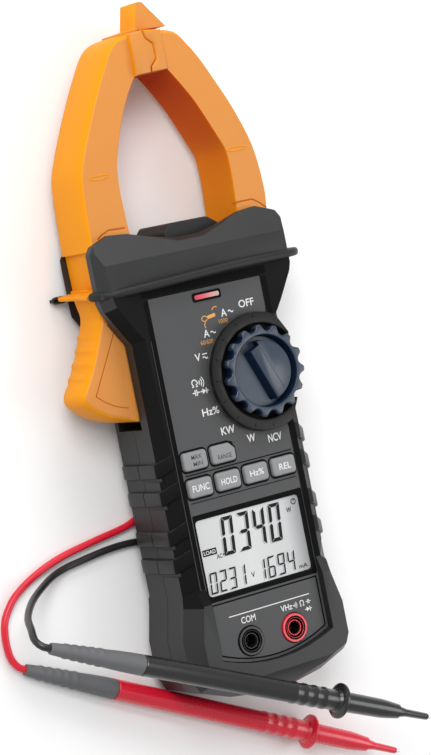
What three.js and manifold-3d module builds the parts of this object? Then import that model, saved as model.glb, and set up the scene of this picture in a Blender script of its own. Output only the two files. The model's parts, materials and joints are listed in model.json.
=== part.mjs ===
// A power clamp meter lying on its back, with its two test leads beside it.
// Millimetres, +Z up out of the meter's front face, +Y toward the jaws, +X to the meter's right.
// Shapes are drawn with Y counted from the end of the foot, Z from the surface that it rests on.
import * as THREE from 'three';
import { mergeVertices } from 'three/addons/utils/BufferGeometryUtils.js';
import Module from 'manifold-3d';

const wasm = await Module();
wasm.setup();

// ---- driving dimensions ----
const gap = 0.3;
const wall = 2.4;

const waistHalf = 37.5;
const footHalf = 41.5;
const collarHalf = 49;
const guardHalf = 59.5;
const frontZ = 41.2;
const footZ = frontZ + 2.8;
const seamZ = 22;
const waistBackZ = 7;
const ribProud = 1.2;
const ribHeight = 5.6;
const ribCentres = [61.5, 73.5, 91, 103];
const guardY = 184.2;
const guardThickness = 2.4;

const panelZ = frontZ - 0.6;
const panelThickness = 1.3;
const panelRecessZ = panelZ - panelThickness - gap;
const panelTopY = 177.5;
const panelBottomY = 20.4;
const panelSag = 6;
const cavityFrontZ = panelZ - 4.1;

const lcdX = -0.4;
const lcdY = 64;
const lcdWidth = 53.5;
const lcdHeight = 33.3;
const lcdZ = panelZ - 0.5;

const dialX = 18.6;
const dialY = 137;
const knobRadius = 20.1;
const knobTopZ = panelZ + 6.9;
const knobScallops = 16;
const knobDiscRadius = knobRadius - 4.9;
const knobBarWidth = 7;
const knobBarAngle = 22.5;
const dialHoleRadius = knobRadius + 1.3;
const dialRadius = dialHoleRadius + 4.4;
const dialTopZ = panelZ + 2.4;
const rotorRadius = 15;
const knobShaftRadius = 5.5;

const buttonWidth = 12.2;
const buttonHeight = 8;
const buttonPitch = buttonWidth + 2.3;
const buttonTopZ = panelZ + 1.6;
const buttonTravel = 1.2;
const buttonRowLower = 94.5;
const buttonRowUpper = buttonRowLower + buttonHeight + 3.8;
const buttonRowX = -0.2;
const buttonFirstX = buttonRowX - 1.5 * buttonPitch;
const rangeKeyCut = 2.6;
const panelHalf = 1.5 * buttonPitch + buttonWidth / 2 + 1;

const jackSpacing = 22.9;
const jackY = 24.5;
const jackBarrelRadius = 5.7;
const jackRingRadius = jackBarrelRadius + 0.8;
const jackBoreRadius = jackBarrelRadius - 1.4;
const contactTubeRadius = jackBoreRadius - 1.4;
const contactTubeWall = 0.85;
const jackBottomZ = 15;
const jackRecess = 6;

const lampWidth = 13.5;
const lampY = 174;

const jawBackZ = 5;
const jawFrontZ = 31;
const jawRootY = 214;
const jawTopY = 292;
const finRise = 11.3;
const jawHalf = 45.5;
const jawWindowHalf = 25.3;
const pivotX = -30;
const pivotY = 192;
const pivotRadius = 4;
const springRadius = pivotRadius + 4;
const triggerReach = 61.6;
const triggerBackZ = 10.1;
const triggerFrontZ = 29;
const tipBoxZ = 33.6;

const batteryWidth = 26.5;
const batteryLength = 48.5;
const batteryDepth = 17.5;
const batteryY = 84;
const boardZ = cavityFrontZ - 5;
const boardThickness = 1.6;

const leadDiameter = 3.2;
const coilMeanRadius = 18.7;
const coilTurns = 3;
const coilX = 0;
const blackCoilY = 77;
const redCoilY = 126;

const coilBoreRadius = coilMeanRadius - (coilTurns * leadDiameter) / 2;
const coilRimRadius = coilMeanRadius + (coilTurns * leadDiameter) / 2;
const coilHeight = 2 * leadDiameter;
const floorClear = 0.1;

const probeLength = 195.5;
const probeRadius = 4.55;
const guardDiscRadius = 7.8;
const sleeveLength = 44;
const guardDiscAt = 145;
const noseEnd = 180;
const tipSleeveEnd = 193;
const plugLength = 41;
const plugRadius = 4.7;
const plugShroudAt = 24;

// The rest of the model is placed with the middle of the meter's own box at X = 0, Y = 0.
const middleX = (guardHalf - triggerReach) / 2;
const middleY = (jawTopY + finRise) / 2;

const instrument = new THREE.Group();
instrument.position.set(-middleX, -middleY, 0);

// ---- solids ----
const yzBasis = new THREE.Matrix4().makeBasis(
  new THREE.Vector3(0, 1, 0), new THREE.Vector3(0, 0, 1), new THREE.Vector3(1, 0, 0));
const xzBasis = new THREE.Matrix4().makeBasis(
  new THREE.Vector3(1, 0, 0), new THREE.Vector3(0, 0, 1), new THREE.Vector3(0, -1, 0));

function solid(geometry) {
  const bare = geometry.clone();
  bare.deleteAttribute('normal');
  bare.deleteAttribute('uv');
  const merged = mergeVertices(bare, 1e-4);
  return new wasm.Manifold(new wasm.Mesh({
    numProp: 3,
    vertProperties: new Float32Array(merged.attributes.position.array),
    triVerts: new Uint32Array(merged.index.array),
  }));
}

function geometryOf(manifold) {
  const mesh = manifold.getMesh();
  const geometry = new THREE.BufferGeometry();
  geometry.setAttribute('position', new THREE.BufferAttribute(mesh.vertProperties, 3));
  geometry.setIndex(new THREE.BufferAttribute(mesh.triVerts, 1));
  geometry.computeVertexNormals();
  return geometry;
}

function shapeOf(points) {
  return new THREE.Shape(points.map(([u, v]) => new THREE.Vector2(u, v)));
}

// An outline in X and Y raised from z0 to z1, with both rims chamfered when bevel is given.
function plate(points, z0, z1, bevel = null) {
  const rise = bevel ? bevel.rise : 0;
  const options = { depth: z1 - z0 - 2 * rise, bevelEnabled: Boolean(bevel), steps: 1 };
  if (bevel) {
    options.bevelThickness = bevel.rise;
    options.bevelSize = bevel.inset;
    options.bevelOffset = -bevel.inset;
    options.bevelSegments = 1;
  }
  const geometry = new THREE.ExtrudeGeometry(shapeOf(points), options);
  return solid(geometry.translate(0, 0, z0 + rise));
}

// An outline in Y and Z swept across X.
function sideProfile(points, x0, x1) {
  const geometry = new THREE.ExtrudeGeometry(shapeOf(points), { depth: x1 - x0, bevelEnabled: false });
  return solid(geometry.applyMatrix4(yzBasis).translate(x0, 0, 0));
}

// An outline in X and Z swept along Y.
function endProfile(points, y0, y1) {
  const geometry = new THREE.ExtrudeGeometry(shapeOf(points), { depth: y1 - y0, bevelEnabled: false });
  return solid(geometry.applyMatrix4(xzBasis).translate(0, y1, 0));
}

function box(x0, x1, y0, y1, z0, z1) {
  const geometry = new THREE.BoxGeometry(x1 - x0, y1 - y0, z1 - z0);
  return solid(geometry.translate((x0 + x1) / 2, (y0 + y1) / 2, (z0 + z1) / 2));
}

function post(x, y, z0, z1, radius, topRadius = radius, sides = 20) {
  const geometry = new THREE.CylinderGeometry(topRadius, radius, z1 - z0, sides);
  geometry.rotateX(Math.PI / 2);
  return solid(geometry.translate(x, y, (z0 + z1) / 2));
}

function joined(first, ...others) {
  return others.reduce((whole, part) => whole.add(part), first);
}

function cut(first, ...others) {
  return others.reduce((whole, part) => whole.subtract(part), first);
}

function roundedBox(x, y, width, height, corner, z0, z1) {
  const points = [];
  for (const [sx, sy, start] of [[1, -1, -90], [1, 1, 0], [-1, 1, 90], [-1, -1, 180]]) {
    for (let step = 0; step <= 2; step += 1) {
      const angle = THREE.MathUtils.degToRad(start + 45 * step);
      points.push([
        x + sx * (width / 2 - corner) + corner * Math.cos(angle),
        y + sy * (height / 2 - corner) + corner * Math.sin(angle),
      ]);
    }
  }
  return plate(points, z0, z1);
}

function mirrored(points) {
  return points.concat(points.slice().reverse().map(([x, y]) => [-x, y]));
}

function add(name, manifold, color, roughness = 0.6, metalness = 0) {
  const material = new THREE.MeshStandardMaterial({ color, roughness, metalness });
  const geometry = manifold.isBufferGeometry ? manifold : geometryOf(manifold);
  const mesh = new THREE.Mesh(geometry, material);
  mesh.name = name;
  instrument.add(mesh);
  return mesh;
}

const black = 0x24262a;
const panelGrey = 0x3c4045;
const orange = 0xf0a226;
const steel = 0xb9bcc0;
const brass = 0xc9a24a;

// ---- casing ----
// Half of the casing's outline in plan, from the middle of the foot's end up to the collar's rim.
function casingOutline(extra) {
  const waist = waistHalf + extra;
  const foot = footHalf + extra;
  const collar = collarHalf + extra;
  return mirrored([
    [8, -extra], [24, 2.6 - extra], [38, 8 - extra], [foot, 15], [foot, 31],
    [waist + 0.7, 45], [waist, 50], [waist, 160], [waist + 2.5, 163.5],
    [collar - 1.5, 175.5], [collar, 180], [collar, 201], [collar - 2, 204],
    [38, 207.4 + extra], [28.8, 206.6 + extra], [19, 203.6 + extra], [6, 201 + extra],
  ]);
}

// The casing's front and back lines in Y and Z, which lift the waist clear of the surface.
const backLine = [
  [0, 9], [3, 2.5], [9, 0], [42, 0], [50, waistBackZ], [152, waistBackZ], [163, 0], [204, 0], [210, 4],
];
const frontLine = [
  [210, frontZ - 9.2], [206.5, frontZ - 7.2], [195, frontZ - 0.8], [184, frontZ],
  [52, frontZ], [45, footZ], [9, footZ], [0, footZ - 7],
];

function casingBlock(extra) {
  const outline = casingOutline(extra);
  const fromFront = plate(outline, -40, footZ + extra, { rise: 9, inset: 5 });
  const fromBack = plate(outline, -extra, 90, { rise: 6, inset: 4 });
  const sides = sideProfile(backLine.concat(frontLine), -80, 80);
  return fromFront.intersect(fromBack).intersect(sides);
}

// Bumper bands round the waist, cut from a slightly larger casing block.
function ribs() {
  const larger = casingBlock(ribProud);
  const ribTopZ = frontZ - 2.7;
  const half = ribHeight / 2;
  const bands = ribCentres.map((y) => box(-80, 80, y - half, y + half, waistBackZ, ribTopZ));
  return larger.intersect(joined(...bands));
}

// The thin hand guard with its pointed ends.
function guardBlade() {
  const half = [
    [guardHalf, 20], [guardHalf - 3, 31], [50, frontZ - 2.7], [30, frontZ + 1.3], [0, frontZ + 2.6],
  ];
  const back = [[-50, 2.5], [50, 2.5], [guardHalf - 3, 9]];
  const front = half.concat(half.slice(0, -1).reverse().map(([x, z]) => [-x, z]));
  const outline = front.concat([[-guardHalf + 3, 9]], back);
  return endProfile(outline, guardY - guardThickness / 2, guardY + guardThickness / 2);
}

// The slot that the jaws and the trigger swing in, open at the left and at the top.
const jawSlabBottomY = 170.5;
const triggerSlotX = 4;
const triggerSlotBottomY = 123;
const jawSlabRightX = 44.6;

function jawSlot() {
  return joined(
    box(-80, jawSlabRightX, jawSlabBottomY, 230, jawBackZ - gap, jawFrontZ + gap),
    box(-80, triggerSlotX, triggerSlotBottomY, 190, triggerBackZ - gap, triggerFrontZ + gap),
  );
}

function cavity() {
  const inner = plate(casingOutline(-wall), waistBackZ + wall, cavityFrontZ);
  return inner.intersect(box(-80, 80, 12, 165, 0, 60));
}

const screwPlaces = [
  [8.5 - footHalf, 22], [footHalf - 8.5, 22], [6.5 - waistHalf, 114], [waistHalf - 6.5, 160],
];
const screwHead = 2.7;
const screwShank = 1.3;
const screwPostRadius = 3.4;

function screwPosts(z0, z1) {
  return joined(...screwPlaces.map(([x, y]) => post(x, y, z0, z1, screwPostRadius, screwPostRadius, 16)));
}

function screwHoles(z0, z1, radius) {
  return joined(...screwPlaces.map(([x, y]) => post(x, y, z0, z1, radius, radius, 16)));
}

// Where each screw's head seats: in the foot, at the waist and near the collar.
function screwSeatZ(y) {
  return y < 50 ? 3.4 : waistBackZ + 2.2;
}

const body = joined(casingBlock(0), ribs(), guardBlade());

// ---- panel outline, shared by the panel and its recess ----
function panelOutline(extra) {
  const half = panelHalf + extra;
  const arc = [];
  for (let step = 0; step <= 8; step += 1) {
    const t = -1 + step / 4;
    arc.push([half * t, panelBottomY - extra - panelSag * (1 - t * t)]);
  }
  return arc.concat([[half, panelTopY + extra], [-half, panelTopY + extra]]);
}

const dialClear = dialRadius + gap;

function buttonSpots() {
  const spots = [];
  for (let column = 0; column < 2; column += 1) {
    spots.push([buttonFirstX + column * buttonPitch, buttonRowUpper]);
  }
  for (let column = 0; column < 4; column += 1) {
    spots.push([buttonFirstX + column * buttonPitch, buttonRowLower]);
  }
  return spots;
}

const buttonNames = ['max_min', 'range', 'func', 'hold', 'hz', 'rel'];

function buttonHoles(extra, z0, z1) {
  return joined(...buttonSpots().map(([x, y]) => roundedBox(
    x, y, buttonWidth + 2 * extra, buttonHeight + 2 * extra, 1 + extra, z0, z1)));
}

const jackPlaces = [-jackSpacing / 2, jackSpacing / 2];

function jackHoles(radius, z0, z1) {
  return joined(...jackPlaces.map((x) => post(x, jackY, z0, z1, radius)));
}

function lcdHole(extra, z0, z1) {
  return roundedBox(lcdX, lcdY, lcdWidth + 2 * extra, lcdHeight + 2 * extra, 1.5, z0, z1);
}

function lampHole(extra, z0, z1) {
  return roundedBox(0.3, lampY, lampWidth + 2 * extra, 3 + 2 * extra, 1, z0, z1);
}

const batteryDoor = {
  x: batteryWidth / 2 + 3.75,
  y0: batteryY - batteryLength / 2 - 3.75,
  y1: batteryY + batteryLength / 2 + 3.25,
};
const batteryLedge = 2;

function frontCasing() {
  const dialBoss = post(dialX, dialY, panelZ - 13.6, panelZ, dialRadius - 5.8, dialRadius - 0.4, 40);
  const upper = joined(body, dialBoss).intersect(box(-90, 90, -10, 230, seamZ + gap / 2, 80));
  const dialPost = post(dialX, dialY, 0, 80, dialClear - 0.6, dialClear - 0.6, 40);
  const inside = cut(
    upper,
    cavity(),
    jawSlot(),
    plate(panelOutline(gap), panelRecessZ, 60).subtract(dialPost),
    post(dialX, dialY, panelZ, 80, dialClear, dialClear, 40),
    lcdHole(-2, 30, 60),
    buttonHoles(gap, 30, 60),
    jackHoles(jackBarrelRadius + gap, 0, 60),
    post(dialX, dialY, 30, 60, knobShaftRadius + gap),
    lampHole(-0.5, 30, 60),
    post(pivotX, pivotY, 20, jawFrontZ + 5.2, pivotRadius + gap),
  );
  const posts = screwPosts(seamZ + gap / 2, cavityFrontZ + 0.5);
  return cut(joined(inside, posts), screwHoles(0, cavityFrontZ - 2.5, screwShank + gap));
}

function rearCasing() {
  const lower = body.intersect(box(-90, 90, -10, 230, -5, seamZ - gap / 2));
  const inside = cut(
    lower,
    cavity(),
    jawSlot(),
    jackHoles(jackBarrelRadius + gap, jackBottomZ - gap, 60),
    post(pivotX, pivotY, 2, 20, pivotRadius + gap),
  );
  const posts = screwPosts(waistBackZ + 0.5, seamZ - gap / 2).intersect(body);
  const door = box(-batteryDoor.x, batteryDoor.x, batteryDoor.y0, batteryDoor.y1, 0, 20);
  const ledge = box(-batteryDoor.x - batteryLedge, batteryDoor.x + batteryLedge,
    batteryDoor.y0 - batteryLedge, batteryDoor.y1 + batteryLedge, 0, waistBackZ + 1.3);
  const seatRadius = screwHead + gap;
  const seats = screwPlaces.map(([x, y]) => post(x, y, -5, screwSeatZ(y), seatRadius, seatRadius, 16));
  return cut(joined(inside, posts), screwHoles(0, 40, screwShank + gap), ...seats, door, ledge);
}

add('front_casing', frontCasing(), black, 0.62);
add('rear_casing', rearCasing(), black, 0.66);

// The cover's plate lies in the ledge and its thicker middle drops into the opening.
function batteryCover() {
  const { x, y0, y1 } = batteryDoor;
  const lipReach = batteryLedge - gap;
  const lipX = x + lipReach;
  const lip = box(-lipX, lipX, y0 - lipReach, y1 + lipReach, waistBackZ, waistBackZ + 1);
  const middle = box(gap - x, x - gap, y0 + gap, y1 - gap, waistBackZ + 0.5, waistBackZ + 2.1);
  return joined(lip, middle);
}

add('battery_cover', batteryCover(), black, 0.66);

function caseScrew(x, y) {
  const seat = screwSeatZ(y) - gap;
  const head = post(x, y, seat - 1.7, seat, screwHead, screwHead, 16);
  const slot = box(x - 0.5, x + 0.5, y - 2, y + 2, seat - 3, seat - 0.9);
  return joined(head, post(x, y, seat - 0.2, cavityFrontZ - 3.5, screwShank, screwShank, 12)).subtract(slot);
}

screwPlaces.forEach(([x, y], index) => add(`case_screw_${index + 1}`, caseScrew(x, y), steel, 0.35, 1));

// ---- front panel and display ----
function controlPanel() {
  const plateZ = panelZ - panelThickness;
  const sheet = plate(panelOutline(0), plateZ, panelZ);
  return cut(
    sheet,
    post(dialX, dialY, 0, 80, dialClear, dialClear, 40),
    lcdHole(gap, 0, 80),
    buttonHoles(gap, 0, 80),
    jackHoles(jackRingRadius + gap, 0, 80),
    lampHole(gap, 0, 80),
  );
}

add('control_panel', controlPanel(), panelGrey, 0.55);
add('lcd_window', lcdHole(0, panelRecessZ + gap, lcdZ), 0xcfd3cf, 0.15);
const onBoardZ = boardZ + boardThickness;
const module = roundedBox(lcdX, lcdY, lcdWidth + 2, lcdHeight + 4, 1, onBoardZ, cavityFrontZ - gap);
add('lcd_module', module, 0xc3c8c4, 0.4);
add('lamp_window', lampHole(0, panelRecessZ + gap, panelZ + 0.4), 0xd0576a, 0.25);

const keypadY = (buttonRowLower + buttonRowUpper) / 2;
const keypadWidth = 3 * buttonPitch + buttonWidth + 2.3;
const keypadHeight = buttonRowUpper - buttonRowLower + buttonHeight + 1.2;
const keypadTopZ = cavityFrontZ - gap - buttonTravel - 0.4;
const keypadSheet = roundedBox(buttonRowX, keypadY, keypadWidth, keypadHeight, 1.5, onBoardZ, keypadTopZ);
const postHoleRadius = screwPostRadius + gap + 0.2;
const keypad = cut(keypadSheet, screwHoles(0, 80, postHoleRadius));
add('keypad', keypad, 0x55585c, 0.8);

// One corner of the range key is cut off where the dial ring passes it.
buttonSpots().forEach(([x, y], index) => {
  const name = buttonNames[index];
  let cap = roundedBox(x, y, buttonWidth, buttonHeight, 1, cavityFrontZ - gap, buttonTopZ);
  if (name === 'range') {
    const right = x + buttonWidth / 2;
    const top = y + buttonHeight / 2;
    const corner = [[right - rangeKeyCut, top + 1], [right + 1, top - rangeKeyCut], [right + 1, top + 1]];
    cap = cap.subtract(plate(corner.reverse(), 0, 80));
  }
  add(`button_${name}`, cap, 0x8b8e92, 0.6);
});

// ---- selector ----
function dialRing() {
  const outer = post(dialX, dialY, panelZ + gap, dialTopZ, dialRadius, dialRadius - 0.8, 40);
  return outer.subtract(post(dialX, dialY, 0, 80, dialHoleRadius, dialHoleRadius, 40));
}

// The knob's edge is scalloped, its face is dished and a raised bar crosses the dish.
function selectorKnob() {
  const points = [];
  const steps = knobScallops * 4;
  for (let step = 0; step < steps; step += 1) {
    const angle = (2 * Math.PI * step) / steps;
    const dip = Math.max(0, Math.cos(knobScallops * angle));
    const radius = knobRadius - 1.3 * dip * dip;
    points.push([dialX + radius * Math.cos(angle), dialY + radius * Math.sin(angle)]);
  }
  const skirt = plate(points, panelZ + gap + 0.2, knobTopZ, { rise: 1.2, inset: 0.8 });
  const dish = post(dialX, dialY, knobTopZ - 2, 80, knobDiscRadius - 1, knobDiscRadius + 1, 32);
  const shaft = post(dialX, dialY, onBoardZ + 1.4, panelZ + 2, knobShaftRadius, knobShaftRadius, 16);
  const bar = roundedBox(0, 0, knobBarWidth, 2 * knobDiscRadius - 1.5, 2.5, knobTopZ - 2.5, knobTopZ + 1.5);
  const turnedBar = bar.rotate([0, 0, knobBarAngle]).translate([dialX, dialY, 0]);
  return joined(cut(skirt, dish), turnedBar, shaft);
}

add('dial_ring', dialRing(), 0x2b2e33, 0.5);
add('selector_knob', selectorKnob(), 0x1f2c47, 0.5);

function selectorRotor() {
  const disc = post(dialX, dialY, onBoardZ + 0.6, cavityFrontZ - 0.6, rotorRadius, rotorRadius, 28);
  return disc.subtract(post(dialX, dialY, 0, 80, knobShaftRadius + gap, knobShaftRadius + gap, 16));
}

add('selector_rotor', selectorRotor(), 0xd8d4c4, 0.6);

// ---- input jacks ----
function jack(x) {
  const ring = post(x, jackY, panelRecessZ + gap, panelZ + 0.7, jackRingRadius, jackRingRadius - 0.2, 20);
  const barrel = post(x, jackY, jackBottomZ, panelZ, jackBarrelRadius, jackBarrelRadius, 20);
  const bore = post(x, jackY, jackBottomZ + 2, 80, jackBoreRadius, jackBoreRadius, 20);
  return joined(ring, barrel).subtract(bore);
}

function contactTube(x) {
  const bore = contactTubeRadius - contactTubeWall;
  const outside = contactTubeRadius;
  const tube = post(x, jackY, jackBottomZ + 2, panelZ - jackRecess, outside, outside, 16);
  return tube.subtract(post(x, jackY, jackBottomZ + 4, 80, bore, bore, 16));
}

[['com', 0x17181a], ['volt', 0xc21f36]].forEach(([name, color], index) => {
  add(`jack_${name}`, jack(jackPlaces[index]), color, 0.4);
  add(`contact_tube_${name}`, contactTube(jackPlaces[index]), brass, 0.35, 1);
});

// ---- inside ----
function mainBoard() {
  const sheet = roundedBox(0, 101, 2 * (waistHalf - wall) - 1, 104, 2, boardZ, boardZ + boardThickness);
  return cut(sheet, screwHoles(0, 80, postHoleRadius));
}

add('main_board', mainBoard(), 0x2e6b45, 0.6);

function battery() {
  const bottom = waistBackZ + 2.5;
  return roundedBox(0, batteryY, batteryWidth, batteryLength, 1.5, bottom, bottom + batteryDepth);
}

add('battery', battery(), 0x3a3f47, 0.4, 0.3);
add('buzzer', post(-17, 118, boardZ - 5.2, boardZ, 5.5, 5.5, 24), 0x16181a, 0.5);

// ---- jaws ----
// The arms' outlines are drawn 78 high above the root, and stretch to the chosen length.
const jawDrawnHeight = 78;
const jawStretch = (jawTopY - jawRootY) / jawDrawnHeight;

function reach(y) {
  return y > jawRootY ? jawRootY + (y - jawRootY) * jawStretch : y;
}

const jawWindowTopY = reach(276);

// Half outlines from the tip down, the same count of points outside and round the window.
const jawOuter = [
  [0, jawTopY], [8.8, jawTopY], [17.7, reach(286.4)], [23.5, reach(276.5)], [29, reach(267)],
  [35, reach(256.5)], [40, reach(246.5)], [43.8, reach(233)], [jawHalf, jawRootY], [44.3, 205],
];
const jawInner = [
  [0, jawWindowTopY], [6.6, jawWindowTopY], [9.5, reach(272)], [13, reach(266)], [16.3, reach(260.5)],
  [19.4, reach(253)], [21.6, reach(246)], [24.7, reach(233.5)], [jawWindowHalf, 210], [22.6, 204],
];
const fixedBase = [[44.3, 178], [20.5, 178], [20.5, 198]];
const movingBase = [
  [-44.3, 205], [-44, 186], [-58.4, 185.3], [-guardHalf, 184.4], [-58, 183.5], [-44.4, 182.4],
  [-44, 176], [-30, 176], [-22, 178], [-17, 184], [-16, 192], [-18, 199], [-22.6, 204],
];
const triggerOutline = [
  [-44.3, 183], [-44.7, 174], [-54.5, 157.1], [-60, 147], [-triggerReach, 143], [-60.4, 139.4],
  [-55, 134.2], [-50, 131.4], [-39, 127.5], [-28.5, 125.2], [-27, 128], [-27, 172], [-30, 186],
];
const parting = [[-2.5, jawTopY + 0.2], [2, reach(281.5)], [-0.2, reach(275.5)]];

function between(share) {
  return jawOuter.map(([x, y], index) => [
    jawInner[index][0] + share * (x - jawInner[index][0]),
    jawInner[index][1] + share * (y - jawInner[index][1]),
  ]);
}

// The core's channel runs along the middle of the arm; it is open at the tip.
function coreBand(low, high, z0, z1, tipX) {
  const inside = between(low).slice(0, -1);
  const outside = between(high).slice(0, -1);
  const outline = outside.concat(inside.reverse());
  return plate(outline, z0, z1).intersect(box(tipX, 80, 0, 400, 0, 80));
}

const channel = { low: 0.27, high: 0.73 };
const core = { low: 0.31, high: 0.69 };

function partingSide(right) {
  const edge = parting.map(([x, y]) => [x + (right ? gap / 2 : -gap / 2), y]);
  const far = right ? 90 : -90;
  const outline = [[edge[0][0], jawTopY + 40], ...edge, [edge[2][0], 150], [far, 150], [far, jawTopY + 40]];
  return plate(right ? outline : outline.reverse(), -10, 80);
}

function tipBlock() {
  const half = 8.2;
  const points = [[-half, jawTopY], [half + 1, jawTopY], [7.4, jawWindowTopY], [-6.8, jawWindowTopY]];
  return plate(points.reverse(), jawBackZ, tipBoxZ);
}

function jawWindow() {
  const half = jawInner.slice(1);
  const outline = half.concat(half.slice().reverse().map(([x, y]) => [-x, y]));
  const below = [[22.6, 204], [22.6, 190], [-22.6, 190], [-22.6, 204]];
  return plate(outline, -5, 80).add(plate(below.reverse(), -5, 80));
}

function armSolid() {
  const outline = mirrored(jawOuter.slice().reverse());
  return plate(outline, jawBackZ, jawFrontZ, { rise: 4, inset: 2.4 });
}

const arms = armSolid().add(tipBlock()).subtract(jawWindow());

function fixedJaw() {
  const outline = [[44.3, 206], ...fixedBase, [22.6, 204], [25.3, 209]];
  const foot = plate(outline.concat([[45, 212]]), jawBackZ, jawFrontZ);
  const half = joined(arms.intersect(partingSide(true)), foot);
  return half.subtract(coreBand(channel.low, channel.high, 10, 26, -3));
}

function fin() {
  const finTopY = jawTopY + finRise;
  const points = [[-6.8, finTopY], [-8.5, jawTopY - 1], [13.4, jawTopY - 1], [4.6, finTopY]];
  return plate(points, 12, 24);
}

function movingJaw() {
  const foot = plate(movingBase.concat([[-25.3, 209], [-45, 212]]), jawBackZ, jawFrontZ);
  const trigger = plate(triggerOutline, triggerBackZ, triggerFrontZ, { rise: 1.5, inset: 1.2 });
  const overTip = fin().subtract(box(-2.4, 80, 200, jawTopY + gap, 0, 80));
  const half = joined(arms.intersect(partingSide(false)), foot, trigger, overTip);
  const mirroredChannel = coreBand(channel.low, channel.high, 10, 26, -3).mirror([1, 0, 0]);
  const springPocket = post(pivotX, pivotY, 23.5, 80, springRadius + 1, springRadius + 1, 32);
  return cut(half, mirroredChannel, post(pivotX, pivotY, -5, 80, pivotRadius + gap), springPocket);
}

add('fixed_jaw', fixedJaw(), orange, 0.5);
add('moving_jaw', movingJaw(), orange, 0.5);
add('fixed_core', coreBand(core.low, core.high, 10.3, 25.7, 3), 0x77797c, 0.4, 0.8);
add('moving_core', coreBand(core.low, core.high, 10.3, 25.7, 3).mirror([1, 0, 0]), 0x77797c, 0.4, 0.8);
const pivotPin = post(pivotX, pivotY, 2.3, jawFrontZ + 4.9, pivotRadius, pivotRadius, 32);
add('jaw_pivot_pin', pivotPin, steel, 0.3, 1);

function jawSpring() {
  const coil = post(pivotX, pivotY, 24, jawFrontZ, springRadius, springRadius, 32);
  return coil.subtract(post(pivotX, pivotY, 0, 80, pivotRadius + 0.4, pivotRadius + 0.4, 32));
}

add('jaw_spring', jawSpring(), steel, 0.35, 1);

function topCap() {
  const points = [[-8.6, 187], [20.1, 187], [20.1, 203.5], [14.5, 207.3], [-5.4, 207.3], [-8.6, 203.5]];
  return plate(points, jawBackZ, jawFrontZ);
}

add('top_cap', topCap(), black, 0.62);

// ---- test leads ----
// Each lead runs from its probe, under the waist, to a coil that lies there, and on to its plug.
// Route points are X, Y, Z of the cord's middle, with Y from the end of the foot.
const leads = [
  {
    name: 'red',
    color: 0xc8102e,
    probeFrom: [-101.8, 33.8, 3.3],
    probeTo: [75.3, -51.8, 9.55],
    route: [
      [-102.6, 34.2, 3.3], [-104.8, 35.9, 2.8], [-106.6, 39.6, 2], [-107.2, 44.8, 1.7], [-106.9, 51, 1.7],
      [-105, 57.2, 1.7], [-98.9, 64.6, 1.7], [-87.5, 71.2, 1.7], [-73.5, 75.9, 1.7], [-55.7, 79, 1.7],
      [-38, 81.8, 1.7], [-29.5, 86.5, 1.7], [-25, 94, 1.7], [-22.8, 103, 1.7], [-22.1, 112.8, 1.7],
    ],
    coilY: redCoilY,
    tail: [
      [16.2, 146.3, 4.7], [24, 145, 3.4], [31, 143.1, 2.3], [37.5, 140.9, 1.9], [41.4, 139.2, 2.5],
      [43.4, 136.9, 3.9], [43.9, 134.6, 4.7],
    ],
    plugFrom: [43.9, 133.9, 4.9],
  },
  {
    name: 'black',
    color: 0x1b1c1e,
    probeFrom: [-111.3, 47.4, 48.85],
    probeTo: [66.5, -30.3, 48.85],
    route: [
      [-112.1, 47.75, 48.85], [-114.5, 49.2, 47.9], [-115.4, 51.9, 44.8], [-113.2, 55.2, 39.5],
      [-108.3, 59.2, 29], [-97.4, 63.8, 16], [-83.5, 68.4, 6], [-74.5, 70.6, 2.6], [-66.5, 71.8, 1.8],
      [-50.8, 73.7, 1.7], [-38, 73.9, 1.7], [-30, 72.3, 1.7], [-24.4, 68.6, 1.7],
    ],
    coilY: blackCoilY,
    tail: [
      [14.7, 55.7, 4.7], [23, 55.4, 3.4], [31, 55.8, 2.3], [38, 55.9, 1.9], [43, 54.4, 2.3],
      [46.3, 51.3, 3.6], [47, 47.4, 4.7],
    ],
    plugFrom: [47, 46.6, 4.9],
  },
];

function cordSection() {
  const points = [];
  for (let side = 0; side < 8; side += 1) {
    const angle = (Math.PI * side) / 4;
    const radius = leadDiameter / 2;
    points.push(new THREE.Vector2(radius * Math.cos(angle), radius * Math.sin(angle)));
  }
  return new THREE.Shape(points);
}

function cordTube(route) {
  const path = new THREE.CatmullRomCurve3(route.map((point) => new THREE.Vector3(...point)));
  const steps = Math.ceil(path.getLength() / (2 * leadDiameter));
  return new THREE.ExtrudeGeometry(cordSection(), { steps, extrudePath: path, bevelEnabled: false });
}

function coilSolid(coilY) {
  const profile = [
    [coilBoreRadius, floorClear], [coilRimRadius, floorClear],
    [coilRimRadius, coilHeight], [coilBoreRadius, coilHeight], [coilBoreRadius, floorClear],
  ];
  const ring = new THREE.LatheGeometry(profile.map(([r, z]) => new THREE.Vector2(r, z)), 32);
  return solid(ring.rotateX(Math.PI / 2)).translate([coilX, coilY, 0]);
}

// A body turned about a line: profile pairs are distance along the line and radius.
function turned(profile, sides = 14) {
  const points = profile.map(([along, radius]) => new THREE.Vector2(radius, along));
  return solid(new THREE.LatheGeometry(points, sides));
}

// Stands a turned body on its start point and points it along its line.
function aimed(mesh, from, to) {
  const start = new THREE.Vector3(...from);
  const along = new THREE.Vector3(...to).sub(start).normalize();
  mesh.quaternion.setFromUnitVectors(new THREE.Vector3(0, 1, 0), along);
  mesh.position.copy(start);
  return mesh;
}

function probeSleeve() {
  return turned([[0, 0], [0, 2.5], [10, 2.9], [sleeveLength, probeRadius - 0.05], [sleeveLength, 0]]);
}

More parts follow.
